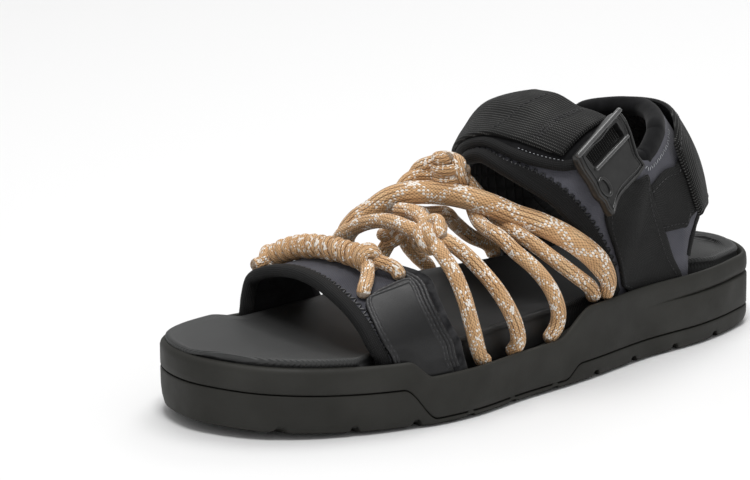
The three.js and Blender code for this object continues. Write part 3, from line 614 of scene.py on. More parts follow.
class Stitches:
    """Short threads lying on surfaces, and dark tubes that paint the shade of sunken seams, all in one
    mesh.
    """

    def __init__(self):
        self.build = Build()

    def row(self, path, normals, pitch, length, radius, turn=0.0, zigzag=False):
        gaps = np.linalg.norm(np.diff(path, axis=0), axis=1)
        reach = np.r_[0, np.cumsum(gaps)]
        count = max(int(reach[-1] / pitch), 1)
        places = (np.arange(count) + 0.5) * reach[-1] / count

        def spread(values):
            return np.stack([np.interp(places, reach, values[:, c]) for c in range(3)], -1)

        at = spread(path)
        out = unit(spread(normals))
        along = spread(np.gradient(path, axis=0))
        along = unit(along - out * np.sum(along * out, -1, keepdims=True))
        side = np.cross(out, along)
        for k in range(count):
            angle = turn * (-1 if zigzag and k % 2 else 1)
            d = along[k] * math.cos(angle) + side[k] * math.sin(angle)
            self.thread(at[k] + out[k] * THREAD_LIFT, d, out[k], length, radius)

    def groove(self, path, normals):
        """A dark tube along a row of threads: painted shade standing in for the sunken seam."""
        lofted(self.build, path, normals, oval(SEAM_SHADE_WIDTH, SEAM_SHADE_WIDTH * 0.5, 6))

    def thread(self, centre, d, n, length, radius):
        w = np.cross(n, d)
        ends = THREAD_ENDS * length
        turn = np.linspace(0, 2 * np.pi, THREAD_SIDES)
        ring = np.cos(turn)[:, None] * w + np.sin(turn)[:, None] * n
        points = (centre + ends[:, None, None] * d + (THREAD_DROP * radius)[:, None, None] * n
                  + (THREAD_SIZES * radius)[:, None, None] * ring[None])
        uv = np.zeros(points.shape[:2] + (2,))
        uv[..., 0] = ends[:, None]
        self.build.grid(points, uv)


# Materials
MIX_FIRST = 6
MIX_SECOND = 7
MIX_RESULT = 2
# Painted shade: the footbed's colour under the straps
UNDER_STRAP_SHADE = (0.012, 0.012, 0.012)
ROPE_TONES = ((0.3, (0.62, 0.365, 0.175)), (0.55, (0.78, 0.485, 0.25)), (0.75, (0.88, 0.61, 0.35)))
# Painted shade: rope creases between strands, furrows between cords, and the dark low end of the flecks'
# tones
ROPE_CREASE_SHADE = (0.16, 0.072, 0.026)
ROPE_FURROW_SHADE = (0.12, 0.052, 0.018)
FLECK_TONES_AND_SHADE = ((0.12, (0.22, 0.11, 0.045)), (0.42, (0.97, 0.91, 0.83)))


class Look:
    """A principled material, and short calls that add nodes to it."""

    def __init__(self, name, colour, roughness, **sockets):
        self.material = bpy.data.materials.new(name)
        self.material.use_nodes = True
        self.tree = self.material.node_tree
        self.shader = self.tree.nodes["Principled BSDF"]
        self.shader.inputs["Base Color"].default_value = (*colour, 1)
        self.shader.inputs["Roughness"].default_value = roughness
        self.shader.inputs["Specular IOR Level"].default_value = sockets.pop("specular", 0.5)
        for socket, value in sockets.items():
            self.shader.inputs[socket.replace("_", " ").title()].default_value = value
        self.relief = None

    def link(self, value, socket):
        if isinstance(value, (int, float)):
            socket.default_value = value
        elif isinstance(value, tuple):
            socket.default_value = value if len(value) == len(socket.default_value) else (*value, 1)
        else:
            self.tree.links.new(value, socket)

    def node(self, kind, *values, output=0, **settings):
        made = self.tree.nodes.new(kind)
        for key, value in settings.items():
            setattr(made, key, value)
        for socket, value in zip(made.inputs, values):
            self.link(value, socket)
        return made.outputs[output]

    def math(self, operation, *values):
        return self.node("ShaderNodeMath", *values, operation=operation)

    def add(self, first, second):
        return self.math("ADD", first, second)

    def less(self, first, second):
        return self.math("SUBTRACT", first, second)

    def times(self, first, second):
        return self.math("MULTIPLY", first, second)

    def sine(self, value):
        return self.math("SINE", value)

    def split(self, vector):
        parts = self.tree.nodes.new("ShaderNodeSeparateXYZ")
        self.link(vector, parts.inputs[0])
        return parts.outputs[0], parts.outputs[1]

    def uv(self):
        return self.split(self.node("ShaderNodeTexCoord", output="UV"))

    def body(self):
        return self.node("ShaderNodeTexCoord", output="Object")

    def noise(self, scale, detail):
        made = self.tree.nodes.new("ShaderNodeTexNoise")
        self.link(self.body(), made.inputs["Vector"])
        made.inputs["Scale"].default_value = scale
        made.inputs["Detail"].default_value = detail
        return made.outputs[0]

    def ramp(self, value, *stops):
        made = self.tree.nodes.new("ShaderNodeValToRGB")
        self.link(value, made.inputs[0])
        while len(made.color_ramp.elements) < len(stops):
            made.color_ramp.elements.new(0.5)
        for element, (at, colour) in zip(made.color_ramp.elements, stops):
            element.position = at
            element.color = (*colour, 1) if isinstance(colour, tuple) else (colour,) * 3 + (1,)
        return made.outputs[0]

    def patches(self, scale, detail, *stops):
        return self.ramp(self.noise(scale, detail), *stops)

    def blend(self, factor, first, second):
        made = self.tree.nodes.new("ShaderNodeMix")
        made.data_type = "RGBA"
        self.link(factor, made.inputs[0])
        self.link(first, made.inputs[MIX_FIRST])
        self.link(second, made.inputs[MIX_SECOND])
        return made.outputs[MIX_RESULT]

    def colour(self, value):
        self.link(value, self.shader.inputs["Base Color"])

    def rough(self, value):
        self.link(value, self.shader.inputs["Roughness"])

    def bump(self, height, depth, strength):
        """Adds a relief. The height is 0 to 1, and the depth in millimetres."""
        made = self.tree.nodes.new("ShaderNodeBump")
        made.inputs["Strength"].default_value = strength
        made.inputs["Distance"].default_value = depth / 1000
        self.link(height, made.inputs["Height"])
        if self.relief:
            self.link(self.relief, made.inputs["Normal"])
        self.relief = made.outputs[0]
        self.link(self.relief, self.shader.inputs["Normal"])

    def grain(self, scale, detail, depth, strength):
        """Adds a relief of noise."""
        self.bump(self.noise(scale, detail), depth, strength)


def rubber_look(name, dark, light, roughness, grain):
    look = Look(name, light, roughness, specular=0.3)
    look.colour(look.patches(38, 4, (0.32, dark), (0.72, light)))
    look.rough(look.patches(60, 2, (0.3, roughness - 0.08), (0.7, roughness + 0.1)))
    look.grain(grain, 3, 0.1, 0.6)
    look.grain(140, 2, 0.25, 0.25)
    return look.material


def footbed_look():
    """Foam with slanted ridges at both ends, and painted shade darkening the part under the straps."""
    look = Look("footbed", (0.04, 0.04, 0.041), 0.58, specular=0.45)
    foam = look.patches(30, 4, (0.3, (0.028, 0.0285, 0.0285)), (0.7, (0.041, 0.042, 0.0415)))
    x, y = look.split(look.body())
    backward = look.times(x, -1.0)
    # Painted shade: the footbed darkened under the straps, where they shade it
    painted_shade_under_straps = look.times(look.ramp(x, (0.072, 1.0), (0.098, 0.0)),
                         look.ramp(backward, (0.02, 1.0), (0.06, 0.0)))
    look.colour(look.blend(painted_shade_under_straps, foam, UNDER_STRAP_SHADE))
    ridges = look.sine(look.add(look.times(x, 5200.0), look.times(y, 2600.0)))
    ridged = look.math("MAXIMUM", look.ramp(x, (0.093, 0.0), (0.1, 1.0)),
                       look.ramp(backward, (0.02, 0.0), (0.03, 1.0)))
    look.bump(look.times(ridges, ridged), 0.16, 0.8)
    look.grain(900, 2, 0.05, 0.5)
    return look.material


def neoprene_look(name, painted_light_factor):
    # The factor brightens or darkens copies of one neoprene: painted light and painted shade
    def tint(*colour):
        return tuple(painted_light_factor * part for part in colour)

    look = Look(name, tint(0.1, 0.1, 0.122), 0.85, sheen_weight=0.12, sheen_roughness=0.4, specular=0.12)
    u, v = look.uv()
    knit = look.times(look.sine(look.times(u, 7.4)), look.sine(look.times(v, 5.6)))
    tone = look.patches(70, 4, (0.3, tint(0.07, 0.07, 0.084)), (0.7, tint(0.106, 0.106, 0.123)))
    look.colour(look.blend(look.ramp(knit, (0.0, 0.0), (1.0, 0.35)), tone, tint(0.14, 0.14, 0.162)))
    look.bump(look.ramp(knit, (0.0, 0.0), (1.0, 1.0)), 0.12, 0.7)
    look.grain(130, 2, 0.35, 0.3)
    return look.material


def webbing_look(name, dark, light, ribs, start=0.1, twill=0.0):
    """Ribs across a band, slanted by the twill and crossed by a finer weft, with crests lighter than the
    troughs: painted shade in the troughs, and patches of wear on the crests.
    """
    look = Look(name, light, 0.72, sheen_weight=0.03, specular=0.18)
    u, v = look.uv()
    rib = look.sine(look.times(look.add(v, look.times(u, twill)), ribs))
    weft = look.sine(look.add(look.times(u, 8.2), look.times(rib, 0.9)))
    weave = look.add(look.times(rib, 0.65), look.times(weft, 0.35))
    worn = look.patches(85, 4, (0.35, 0.35), (0.7, 1.0))
    # Painted shade: troughs between the ribs near black, crests lighter, varied by patches of wear
    crest_light_and_wear = look.times(look.ramp(weave, (start, 0.0), (0.8, 1.0)), worn)
    look.colour(look.blend(crest_light_and_wear, dark, light))
    look.bump(look.ramp(weave, (0.0, 0.0), (1.0, 1.0)), 0.22, 0.9)
    return look.material


def leather_look():
    look = Look("leather", (0.012, 0.012, 0.013), 0.4, specular=0.42)
    cells = look.tree.nodes.new("ShaderNodeTexVoronoi")
    cells.feature = "DISTANCE_TO_EDGE"
    cells.inputs["Scale"].default_value = 950
    look.link(look.body(), cells.inputs["Vector"])
    look.colour(look.patches(60, 4, (0.35, (0.005, 0.005, 0.0055)), (0.7, (0.0115, 0.0115, 0.012))))
    look.rough(look.patches(45, 3, (0.3, 0.36), (0.7, 0.52)))
    look.bump(look.ramp(cells.outputs[0], (0.0, 0.0), (0.12, 1.0)), 0.05, 0.5)
    look.grain(90, 3, 0.35, 0.35)
    return look.material


def suede_look(name, dark, light):
    look = Look(name, light, 0.95, sheen_weight=0.1, sheen_roughness=0.5, specular=0.08)
    look.colour(look.patches(220, 5, (0.36, dark), (0.66, light)))
    look.grain(1500, 3, 0.1, 0.7)
    look.grain(200, 3, 0.2, 0.4)
    return look.material


def quilt_look():
    """A lining of soft pads between two families of slanted seams, with painted shade darkening the pads
    towards the seams.
    """
    look = Look("quilted_lining", (0.015, 0.015, 0.016), 0.8, sheen_weight=0.05, specular=0.25)
    u, v = look.uv()
    first, second = (look.math("ABSOLUTE", look.sine(look.times(slanted, 0.42)))
                     for slanted in (look.add(u, v), look.less(u, v)))
    pads = look.math("POWER", look.math("MINIMUM", first, second), 0.5)
    # Painted shade: the pads darker towards the seams' hollows
    look.colour(look.blend(pads, (0.006, 0.006, 0.006), (0.021, 0.021, 0.022)))
    look.bump(pads, 0.9, 0.9)
    look.grain(700, 2, 0.06, 0.5)
    return look.material


def rope_look(name, strands, lead, cords, flecked):
    """A braid: two families of strands that cross over and under, a few of them cream, on a
    sheath with fine lengthwise cords. Painted shade darkens the creases between strands, the
    furrows between cords and the edges of the cream flecks."""
    look = Look(name, (0.5, 0.3, 0.13), 0.7, sheen_weight=0.15, specular=0.2)
    along, turn = look.uv()
    around = look.times(turn, float(strands))
    climb = look.times(along, strands / lead)
    first, second = look.add(around, climb), look.less(around, climb)

    def strand(value, crossing):
        part = look.less(look.math("FRACT", value), 0.5)
        rounded = look.less(1.0, look.times(look.times(part, part), 3.0))
        crimp = look.sine(look.times(look.math("FRACT", crossing), math.pi))
        height = look.times(rounded, look.add(0.45, look.times(crimp, 0.55)))
        number = look.math("FLOORED_MODULO", look.math("FLOOR", value), strands / 2)
        spread = look.math("ABSOLUTE", look.less(number, strands / 8))
        return height, look.math("LESS_THAN", spread, 1.3)

    height_one, cream_one = strand(first, second)
    height_two, cream_two = strand(second, first)
    crossings = look.add(look.math("FLOOR", first), look.math("FLOOR", second))
    over = look.math("LESS_THAN", look.math("FLOORED_MODULO", crossings, 2.0), 0.5)
    under = look.less(1.0, over)

    def chosen(one, two):
        return look.add(look.times(one, over), look.times(two, under))

    height = chosen(height_one, height_two)
    present = look.math("GREATER_THAN", look.noise(650, 1), flecked)
    cream = look.times(chosen(cream_one, cream_two), present)
    cord = look.sine(look.times(look.math("FRACT", look.times(turn, float(cords))), math.pi))
    plain = look.patches(60, 2, (0.4, 0.15), (0.55, 1.0))
    # Painted shade in the furrows between the lengthwise cords
    furrow_shade = look.times(look.ramp(cord, (0.1, 1.0), (0.5, 0.0)), plain)
    tone = look.patches(120, 4, *ROPE_TONES)
    # Painted shade in the creases where strands dip under each other
    weave = look.blend(look.ramp(height, (0.12, 1.0), (0.55, 0.0)), tone, ROPE_CREASE_SHADE)
    sheath = look.blend(look.times(furrow_shade, 0.95), weave, ROPE_FURROW_SHADE)
    look.colour(look.blend(cream, sheath, look.ramp(height, *FLECK_TONES_AND_SHADE)))
    look.bump(look.add(look.times(height, 0.6), look.times(cord, 0.4)), 0.5, 1.0)
    return look.material


def plain_look(name, colour, roughness, grain, depth, **sockets):
    look = Look(name, colour, roughness, **sockets)
    low = tuple(c * 0.8 for c in colour)
    high = tuple(min(c * 1.25, 1) for c in colour)
    look.colour(look.patches(grain / 6, 3, (0.35, low), (0.7, high)))
    look.grain(grain, 3, depth, 0.6)
    return look.material


OUTSOLE = rubber_look("outsole_rubber", (0.02, 0.0195, 0.0165), (0.028, 0.0275, 0.0235), 0.62, 800)
MIDSOLE = rubber_look("midsole_foam", (0.0215, 0.021, 0.018), (0.031, 0.0305, 0.0265), 0.66, 1000)
FOOTBED_FOAM = footbed_look()
# One neoprene in two copies: the ankle strap's brightened as painted light, the toe strap's darkened as
# painted shade
NEOPRENE = neoprene_look("neoprene", 1.12)
SHADED_TOE_NEOPRENE = neoprene_look("shaded_toe_neoprene", 0.78)
WEBBING = webbing_look("ribbed_webbing", (0.003, 0.003, 0.003), (0.15, 0.15, 0.143), 4.4, 0.5)
TAPE = webbing_look("side_tape", (0.008, 0.008, 0.008), (0.03, 0.03, 0.029), 6.5, 0.1, 0.7)
BINDING_TAPE = webbing_look("binding_tape", (0.006, 0.006, 0.006), (0.02, 0.02, 0.021), 7.5)
LEATHER = leather_look()
SUEDE = suede_look("suede", (0.01, 0.01, 0.011), (0.04, 0.04, 0.042))
COLLAR_CLOTH = suede_look("collar_cloth", (0.0055, 0.0055, 0.006), (0.011, 0.011, 0.012))
QUILT = quilt_look()
BRAID = rope_look("rope_braid", 16, 30.0, 10, 0.5)
THICK_BRAID = rope_look("thick_rope_braid", 22, 42.0, 14, 0.46)
WRAP_BRAID = rope_look("wrapped_rope_braid", 16, 26.0, 8, 0.53)
LIGHT_THREAD = plain_look("light_thread", (0.32, 0.33, 0.35), 0.6, 2500, 0.05)
DARK_THREAD = plain_look("dark_thread", (0.008, 0.008, 0.009), 0.5, 2500, 0.05)
# Painted highlight: a lighter, glossier copy of the black thread, for the seams
LIT_SEAM_THREAD = plain_look("lit_seam_thread", (0.03, 0.03, 0.032), 0.38, 2500, 0.05)
PLASTIC = plain_look("buckle_plastic", (0.015, 0.015, 0.0148), 0.3, 1200, 0.02, coat_weight=0.25,
                     coat_roughness=0.15)
# Painted highlight: a lighter copy of the buckle plastic, for its bars
HIGHLIGHT_PLASTIC = plain_look("painted_highlight_bar", (0.06, 0.06, 0.06), 0.22, 1200, 0.02, coat_weight=0.5)

# The sole: loops of points that pair up across it
STATIONS = 300
lateral_loop = resampled(CHAINS[1], STATIONS)
medial_loop = lateral_loop[1:-1][::-1].copy()
medial_loop[:, 1] = edge_y(medial_loop[:, 0], -1)
SOLE_LOOP = np.r_[lateral_loop, medial_loop][:, :2]
turned = unit(np.roll(SOLE_LOOP, -1, 0) - np.roll(SOLE_LOOP, 1, 0))
SOLE_OUT = np.stack([-turned[:, 1], turned[:, 0]], -1)


def level(inset, height):
    x = SOLE_LOOP[:, 0]
    inset = np.broadcast_to(inset(x) if callable(inset) else inset, x.shape)
    p = SOLE_LOOP - SOLE_OUT * inset[:, None]
    z = height(p[:, 0]) if callable(height) else np.full(len(x), float(height))
    return np.c_[p, z + spring(p[:, 0])]


def side_band(build, levels, mark=0):
    points = np.stack([np.r_[one, one[:1]] for one in levels], 1)
    build.grid(points, None, mark)


def halves(ring):
    lateral = ring[: STATIONS + 1]
    medial = np.r_[ring[:1], ring[STATIONS + 1:][::-1], ring[STATIONS:STATIONS + 1]]
    return lateral, medial


def cap(build, ring, columns=2, height=None, mark=0):
    lateral, medial = halves(ring)
    share = np.linspace(0, 1, columns)[None, :, None]
    points = lateral[:, None] * (1 - share) + medial[:, None] * share
    if height is not None:
        points[..., 2] = height(points, np.broadcast_to(share[..., 0], points.shape[:2]))
    build.grid(points, points[..., :2].copy(), mark)


LUG_REACH = 0.45
LUG_FLANK = (-0.7, 0.3)
TOE_TUCK = 2.4
HEEL_TUCK = (-0.49, -0.42)
TREAD_COLUMNS = 60
TREAD_RIBS = 5.2
RIB_HEIGHT = 0.35
MIDDLE_GROOVE = 0.03


def groove(x):
    """1 within a groove of the tread, 0 between the grooves."""
    from_middle = np.abs(np.mod(x + LUG_SHIFT + LUG_SPACING / 2, LUG_SPACING) - LUG_SPACING / 2)
    inside = np.abs(x) < LUG_REACH * SOLE
    return (1 - step(from_middle, *(LUG_GROOVE / 2 + flank for flank in LUG_FLANK))) * inside


def tucked(x):
    """Where the sole's lower edge turns in: at the toe and behind the heel."""
    return along_step(x, TOE_CUP) + 1 - along_step(x, HEEL_TUCK)


def make_outsole():
    build = Build()

    def notch(x, least=0):
        return np.maximum(LUG_DEPTH * groove(x), least)

    def tuck(base, share):
        return lambda x: base + share * TOE_TUCK * tucked(x)

    def shoulder(x):
        return np.maximum(band_top(x) - 1.0, 1.8)

    def flank(share):
        return lambda x: mix(1.4, shoulder(x), share) + 0.3 * groove(x)

    def band(drop, least):
        return lambda x: np.maximum(band_top(x) - drop, least)

    low = [
        level(tuck(3.0, 1.5), notch),
        level(tuck(1.7, 1.2), lambda x: notch(x, 0.2)),
        level(tuck(0.9, 0.85), lambda x: notch(x, 0.6)),
        level(tuck(0.35, 0.45), lambda x: notch(x, 1.4)),
        level(tuck(0.1, 0.18), flank(0.25)),
        level(tuck(0.0, 0.04), flank(0.55)),
        level(0, shoulder),
        level(0.08, band(0.55, 1.95)),
        level(0.35, band(0.15, 2.1)),
        level(0.9, band(0, 2.15)),
        level(3, band(0, TREAD)),
        level(3, TREAD),
    ]
    side_band(build, low)
    lateral, medial = halves(low[0])

    def tread(points, share):
        x = points[..., 0]
        middle = np.exp(-(((share - 0.5) / MIDDLE_GROOVE) ** 2))
        waves = np.sin(2 * np.pi * (points[..., 1] + 0.4 * x) / TREAD_RIBS)
        ribs = RIB_HEIGHT * (waves > 0.55) * (share > 0.04) * (share < 0.96)
        depth = np.maximum(notch(x), np.maximum(0.8 * middle, ribs))
        depth = depth * np.minimum(1, np.minimum(share, 1 - share) * TREAD_COLUMNS) + spring(x)
        edge = mix(lateral[:, None, 2], medial[:, None, 2], share)
        return np.where((share == 0) | (share == 1), edge, depth)

    cap(build, low[0], TREAD_COLUMNS, tread)
    cap(build, low[-1])
    build.mesh("outsole_tread", [OUTSOLE], "outsole_rubber", ["outsole"], 35)


def heel_share(x):
    return 1 - step(x, -0.37 * SOLE, -0.2 * SOLE)


def toe_share(x):
    return step(x, 0.3 * SOLE, 0.36 * SOLE)


# The cup's side from its foot up: inset, more of it at the heel and at the toe, share of the wall
CUP_WALL = (
    (0, 0, 0, 0.3), (0, 0, 0, 0.57), (0, 0.35, 0, 0.6), (0, 1.7, 0, 0.615), (0, 1.15, 0, 0.635),
    (0, 0.25, 0, 0.68), (0, 0, 0, 0.76), (0.1, 0, 0.3, 0.87), (0.35, 0, 0.75, 0.95),
)
# The cup's lip: inset, more of it at the toe, how far below the top
CUP_LIP = ((0.85, 0.95, 0.25), (1.4, 1.0, 0), (2.1, 0.6, 0.1), (LIP, 0.4, 0.6))


def make_midsole():
    build = Build()

    def foot(rise):
        return lambda x: band_top(x) + CLEAR + rise

    def inset(base, heel, toe):
        return lambda x: base + heel * heel_share(x) + toe * toe_share(x)

    def wall(share):
        return lambda x: mix(band_top(x) + CLEAR, cup_top(x), share)

    def below_top(drop):
        return lambda x: cup_top(x) - drop

    rows = [level(3.35, TREAD + CLEAR), level(3.35, foot(0)), level(1.0, foot(0)), level(0.4, foot(0.2)),
            level(0.05, foot(0.75))]
    rows += [level(inset(base, heel, toe), wall(share)) for base, heel, toe, share in CUP_WALL]
    rows += [level(inset(base, 0, toe), below_top(drop)) for base, toe, drop in CUP_LIP]
    rows.append(level(inset(LIP, 0, 0.4), seat))
    side_band(build, rows)
    cap(build, rows[0])
    cap(build, rows[-1])
    build.mesh("midsole_cup", [MIDSOLE], "midsole_foam", ["midsole"], 50)


# The footbed's inset from the sole's edge: in the middle, at the toe and at the heel
FOOTBED_INSETS = (10.6, 2.3, 4.2)
# Its rounded rim: inset and drop of each ring
FOOTBED_RIM = ((0.05, 2.0), (-0.1, 1.3), (0.15, 0.6), (0.7, 0.15), (1.4, 0), (2.2, 0.15), (3.2, 0.6),
               (4.4, 1.0))


def footbed_inset(x):
    middle, at_toe, at_heel = FOOTBED_INSETS
    toe = step(x, 0.305 * SOLE, 0.345 * SOLE)
    heel = 1 - step(x, -0.39 * SOLE, -0.34 * SOLE)
    return middle + (at_toe - middle) * toe + (at_heel - middle) * heel


def make_footbed():
    build = Build()
    x_of = SOLE_LOOP[:, 0]
    heights = footbed_heights(x_of / SOLE)
    side = step(SOLE_LOOP[:, 1], -0.1 * BALL, 0.1 * BALL)
    rim_height = HEEL_TOP * mix(heights[:, 2], heights[:, 1], side)
    over_lip = step(x_of, 0.3 * SOLE, 0.34 * SOLE)

    def ring(inset, drop):
        made = level(lambda x: footbed_inset(x) + inset, 0.0)
        made[:, 2] += rim_height - drop
        return made

    def below(x):
        return np.maximum(footbed_inset(x), 3.6)

    tuck = level(below, 0.0)
    tuck[:, 2] += mix(rim_height - 4, cup_top(x_of) + 0.35, over_lip)
    low = ring(0.5, 2.6)
    low[:, 2] = mix(low[:, 2], cup_top(x_of) + spring(x_of) + 0.55, over_lip)
    rows = [level(below, lambda x: seat(x) + 2 * CLEAR), tuck, low]
    rows += [ring(inset, drop - 0.9 * over_lip) for inset, drop in FOOTBED_RIM]
    side_band(build, rows)
    cap(build, rows[0])
    lateral, medial = halves(rows[-1])

    def dish(points, share):
        middle = HEEL_TOP * footbed_heights(points[..., 0] / SOLE)[..., 3] + spring(points[..., 0])
        edge = mix(lateral[:, None, 2], medial[:, None, 2], share)
        rise = np.abs(2 * share - 1) ** 2.6
        ends = np.minimum(np.arange(len(points)), np.arange(len(points))[::-1])[:, None] / 14.0
        rise = np.maximum(rise, np.clip(1 - ends, 0, 1) ** 2)
        return mix(np.minimum(middle - 0.8, edge), edge, rise)

    cap(build, rows[-1], 44, dish)
    build.mesh("footbed_cushion", [FOOTBED_FOAM], "footbed_foam", ["footbed"], 60)


def edge_path(at, u, v, off):
    """Points and outward directions along a line on a surface."""
    path = at(u, v, off)
    outward = at(u, v, np.asarray(off) + 1.0) - path
    return path, unit(outward)


dark_stitches = Stitches()
seam_stitches = Stitches()
light_stitches = Stitches()


# Where the toe strap's bound edges and its seams lie, in shares from its front to its rear edge
TOE_BINDINGS = ((0.045, oval(3.0, 2.6, 16, 2.6), 2), (0.965, oval(1.7, 1.95, 14, 2.4), 3))
BINDING_SINK = -1.45
SUEDE_FRONT = 0.79
SUEDE_REAR = 0.995
SUEDE_SEAMS = (0.83, 0.875)
# The leather panels' edges, as places across and along the toe strap
PANEL_EDGES = (
    [[0.73, 0.3], [0.765, 0.17], [0.84, 0.125], [0.92, 0.12], [0.985, 0.13]],
    [[0.71, 0.8], [0.785, 0.8], [0.85, 0.8], [0.92, 0.8], [0.985, 0.8]],
)
PANEL_SEAMS = (0.035, 0.085)
PANEL_STEPS = 100


def make_toe_strap():
    build = Build()
    across = np.linspace(0, 1, 150)
    shares, lift = edged(16)
    sheet(build, vamp_at, *crossed(across, shares), 0.5 * lift - 0.5, 0.1 - VAMP_WALL, (0, 1, 1))
    for share, profile, mark in TOE_BINDINGS:
        lofted(build, *edge_path(vamp_at, across, share, BINDING_SINK), profile, mark)
    build.mesh("toe_strap_body", [SHADED_TOE_NEOPRENE, COLLAR_CLOTH, BINDING_TAPE, SUEDE], "neoprene",
               ["toe_strap"], 60)
    seam_stitches.row(*edge_path(vamp_at, np.linspace(0.02, 0.98, 200), 0.13, 0.3), **ZIGZAG)


# Seam threads over a dark tube: the tube is painted shade of the sunken seam
def seam_with_painted_shade(path, out):
    seam_stitches.row(path, out, **SEAM)
    dark_stitches.groove(path, out)


def make_suede_strip():
    build = Build()
    shares = np.r_[0, 0.02, 0.06, np.linspace(0.15, 0.85, 6), 0.94, 0.98, 1]
    lift = np.r_[0.1, 0.75, 1, np.ones(6), 1, 0.75, 0.1]
    u, v = crossed(np.linspace(0.02, 0.985, 130), shares)
    sheet(build, vamp_at, u, mix(SUEDE_FRONT, SUEDE_REAR, v), 0.05 + 1.05 * lift, 0.0)
    build.mesh("suede_strip", [SUEDE], "suede", (), 60)
    for share in SUEDE_SEAMS:
        seam_with_painted_shade(*edge_path(vamp_at, np.linspace(0.03, 0.975, 200), share, 1.15))


def panel_lines(side, steps, shares):
    """A leather panel's places on the toe strap. Its corners are rounded at its upper end."""
    u, v = ribbon_lines(*PANEL_EDGES, steps, shares)
    corner = np.clip(1 - np.linspace(0, 1, steps + 1)[:, None] / 0.13, 0, 1) ** 2
    sides = np.abs(2 * np.asarray(shares)[None] - 1) ** 5
    u = u + 0.022 * corner * sides
    return (u if side > 0 else 1 - u), v


def make_panel(side):
    build = Build()
    shares, lift = edged(14)
    u, v = panel_lines(side, 50, shares)
    rise = np.ones(51)
    rise[:3] = EDGE_LIFT
    outer = CLEAR + PANEL * np.minimum(lift[None], rise[:, None])
    sheet(build, vamp_at, u, v, outer, CLEAR)
    name = "lateral" if side > 0 else "medial"
    build.mesh("toe_panel_leather_" + name, [LEATHER], "leather", ["toe_panel_" + name], 60)
    us, vs = panel_lines(side, PANEL_STEPS, np.linspace(0, 1, PANEL_STEPS + 1))
    for inset in PANEL_SEAMS:
        start = int(inset * 1.25 * PANEL_STEPS)
        first = int(inset * 1.05 * PANEL_STEPS)
        last = int((1 - inset * 1.05) * PANEL_STEPS)
        route = [(i, first) for i in range(96, start, -1)]
        route += [(start, j) for j in range(first, last)]
        route += [(i, last) for i in range(start, 97)]
        rows, columns = np.array(route).T
        seam_with_painted_shade(*edge_path(vamp_at, us[rows, columns], vs[rows, columns], CLEAR + PANEL))


# Ropes: the rounding of their ends, as shares of the radius around and along, and the knots' ropes
ROPE_END = ((0.8, 0.45), (0.45, 0.7), (0.0, 0.8))
COIL_TUCK = 0.16
KNOT_ROPE = 2.5
THIN_KNOT_ROPE = 2.4
# Where the thick rope swells and thins again, in shares of its length
THICK_STARTS = (0, 0.12)
THICK_ENDS = (0.72, 0.9)
# The rope roll on the toe strap: places across and along the strap, and how far it lies off its rise
ROLL = [[0.27, 0.38, -0.4], [0.34, 0.5, -0.8], [0.42, 0.6, -0.8], [0.5, 0.65, -0.6],
        [0.57, 0.655, -0.4], [0.64, 0.64, -0.3]]
ROLL_STEPS = 400
WRAP_RADIUS = 5.2
WRAP_ROPE = 2.3
CORE_ROPE = 2.6
WRAP_TURNS = 13
FIRST_WRAP = 12
LAST_WRAP = -14
# The roll's tails: across, along, and the height above the roll's rise or the strap
WRAP_TAILS = (
    ((0.62, 0.64, "roll", 0), (0.662, 0.5, "strap", 1.5), (0.69, 0.38, "strap", 0),
     (0.715, 0.27, "strap", 0), (0.722, 0.24, "strap", -1.5)),
    ((0.62, 0.64, "roll", 0), (0.655, 0.72, "roll", -0.6), (0.69, 0.76, "strap", 0.4),
     (0.702, 0.765, "strap", -2)),
    ((0.3, 0.42, "roll", 0), (0.294, 0.3, "strap", 1.5), (0.283, 0.2, "strap", 0),
     (0.275, 0.13, "strap", 0)),
    ((0.3, 0.42, "roll", 0), (0.3, 0.55, "roll", -0.6), (0.308, 0.68, "strap", 1)),
)


def tube(build, path, radius, sides=14, mark=0):
    """A round rope along a path. Its texture runs in mm along it and in turns around it."""
    tangents = unit(np.gradient(path, axis=0))
    normals = np.zeros_like(path)
    start = np.array([0.0, 0.0, 1.0]) if abs(tangents[0][2]) < 0.9 else np.array([1.0, 0, 0])
    n = unit(start - tangents[0] * np.dot(start, tangents[0]))
    for i in range(len(path)):
        n = unit(n - tangents[i] * np.dot(n, tangents[i]))
        normals[i] = n
    sideways = np.cross(tangents, normals)
    reach = np.r_[0, np.cumsum(np.linalg.norm(np.diff(path, axis=0), axis=1))]
    radius = np.broadcast_to(radius, (len(path),))
    turn = np.linspace(0, 2 * np.pi, sides + 1)
    ring = (np.cos(turn)[None, :, None] * normals[:, None]
            + np.sin(turn)[None, :, None] * sideways[:, None])
    points = path[:, None] + ring * radius[:, None, None]
    uv = np.zeros(points.shape[:2] + (2,))
    uv[..., 0] = reach[:, None]
    uv[..., 1] = np.linspace(0, 1, sides + 1)[None]
    build.grid(points, uv, mark)
    for end, direction in ((0, -1), (-1, 1)):
        rings = [points[end]]
        for share, out in ROPE_END:
            centre = path[end] + direction * tangents[end] * radius[end] * out
            rings.append(centre + ring[end] * radius[end] * share)
        build.grid(np.stack(rings, 1), None, mark, flip=end == 0)


def channel_point(along, side):
    x = along * SOLE
    y = edge_y(x, side) - side * (LIP + CLEAR + ROPE / 2)
    return [x, float(y), float(seat(x) + spring(x)) + CLEAR + 0.5 * ROPE]


def rope_path(route, side):
    """A rope's middle line through its route, with a point for each millimetre."""
    points = [channel_point(p[0], side) if len(p) == 1 else list(place(*p)) for p in route]
    line = spline(points, 400)
    length = np.linalg.norm(np.diff(line, axis=0), axis=1).sum()
    return resampled(line, int(length))


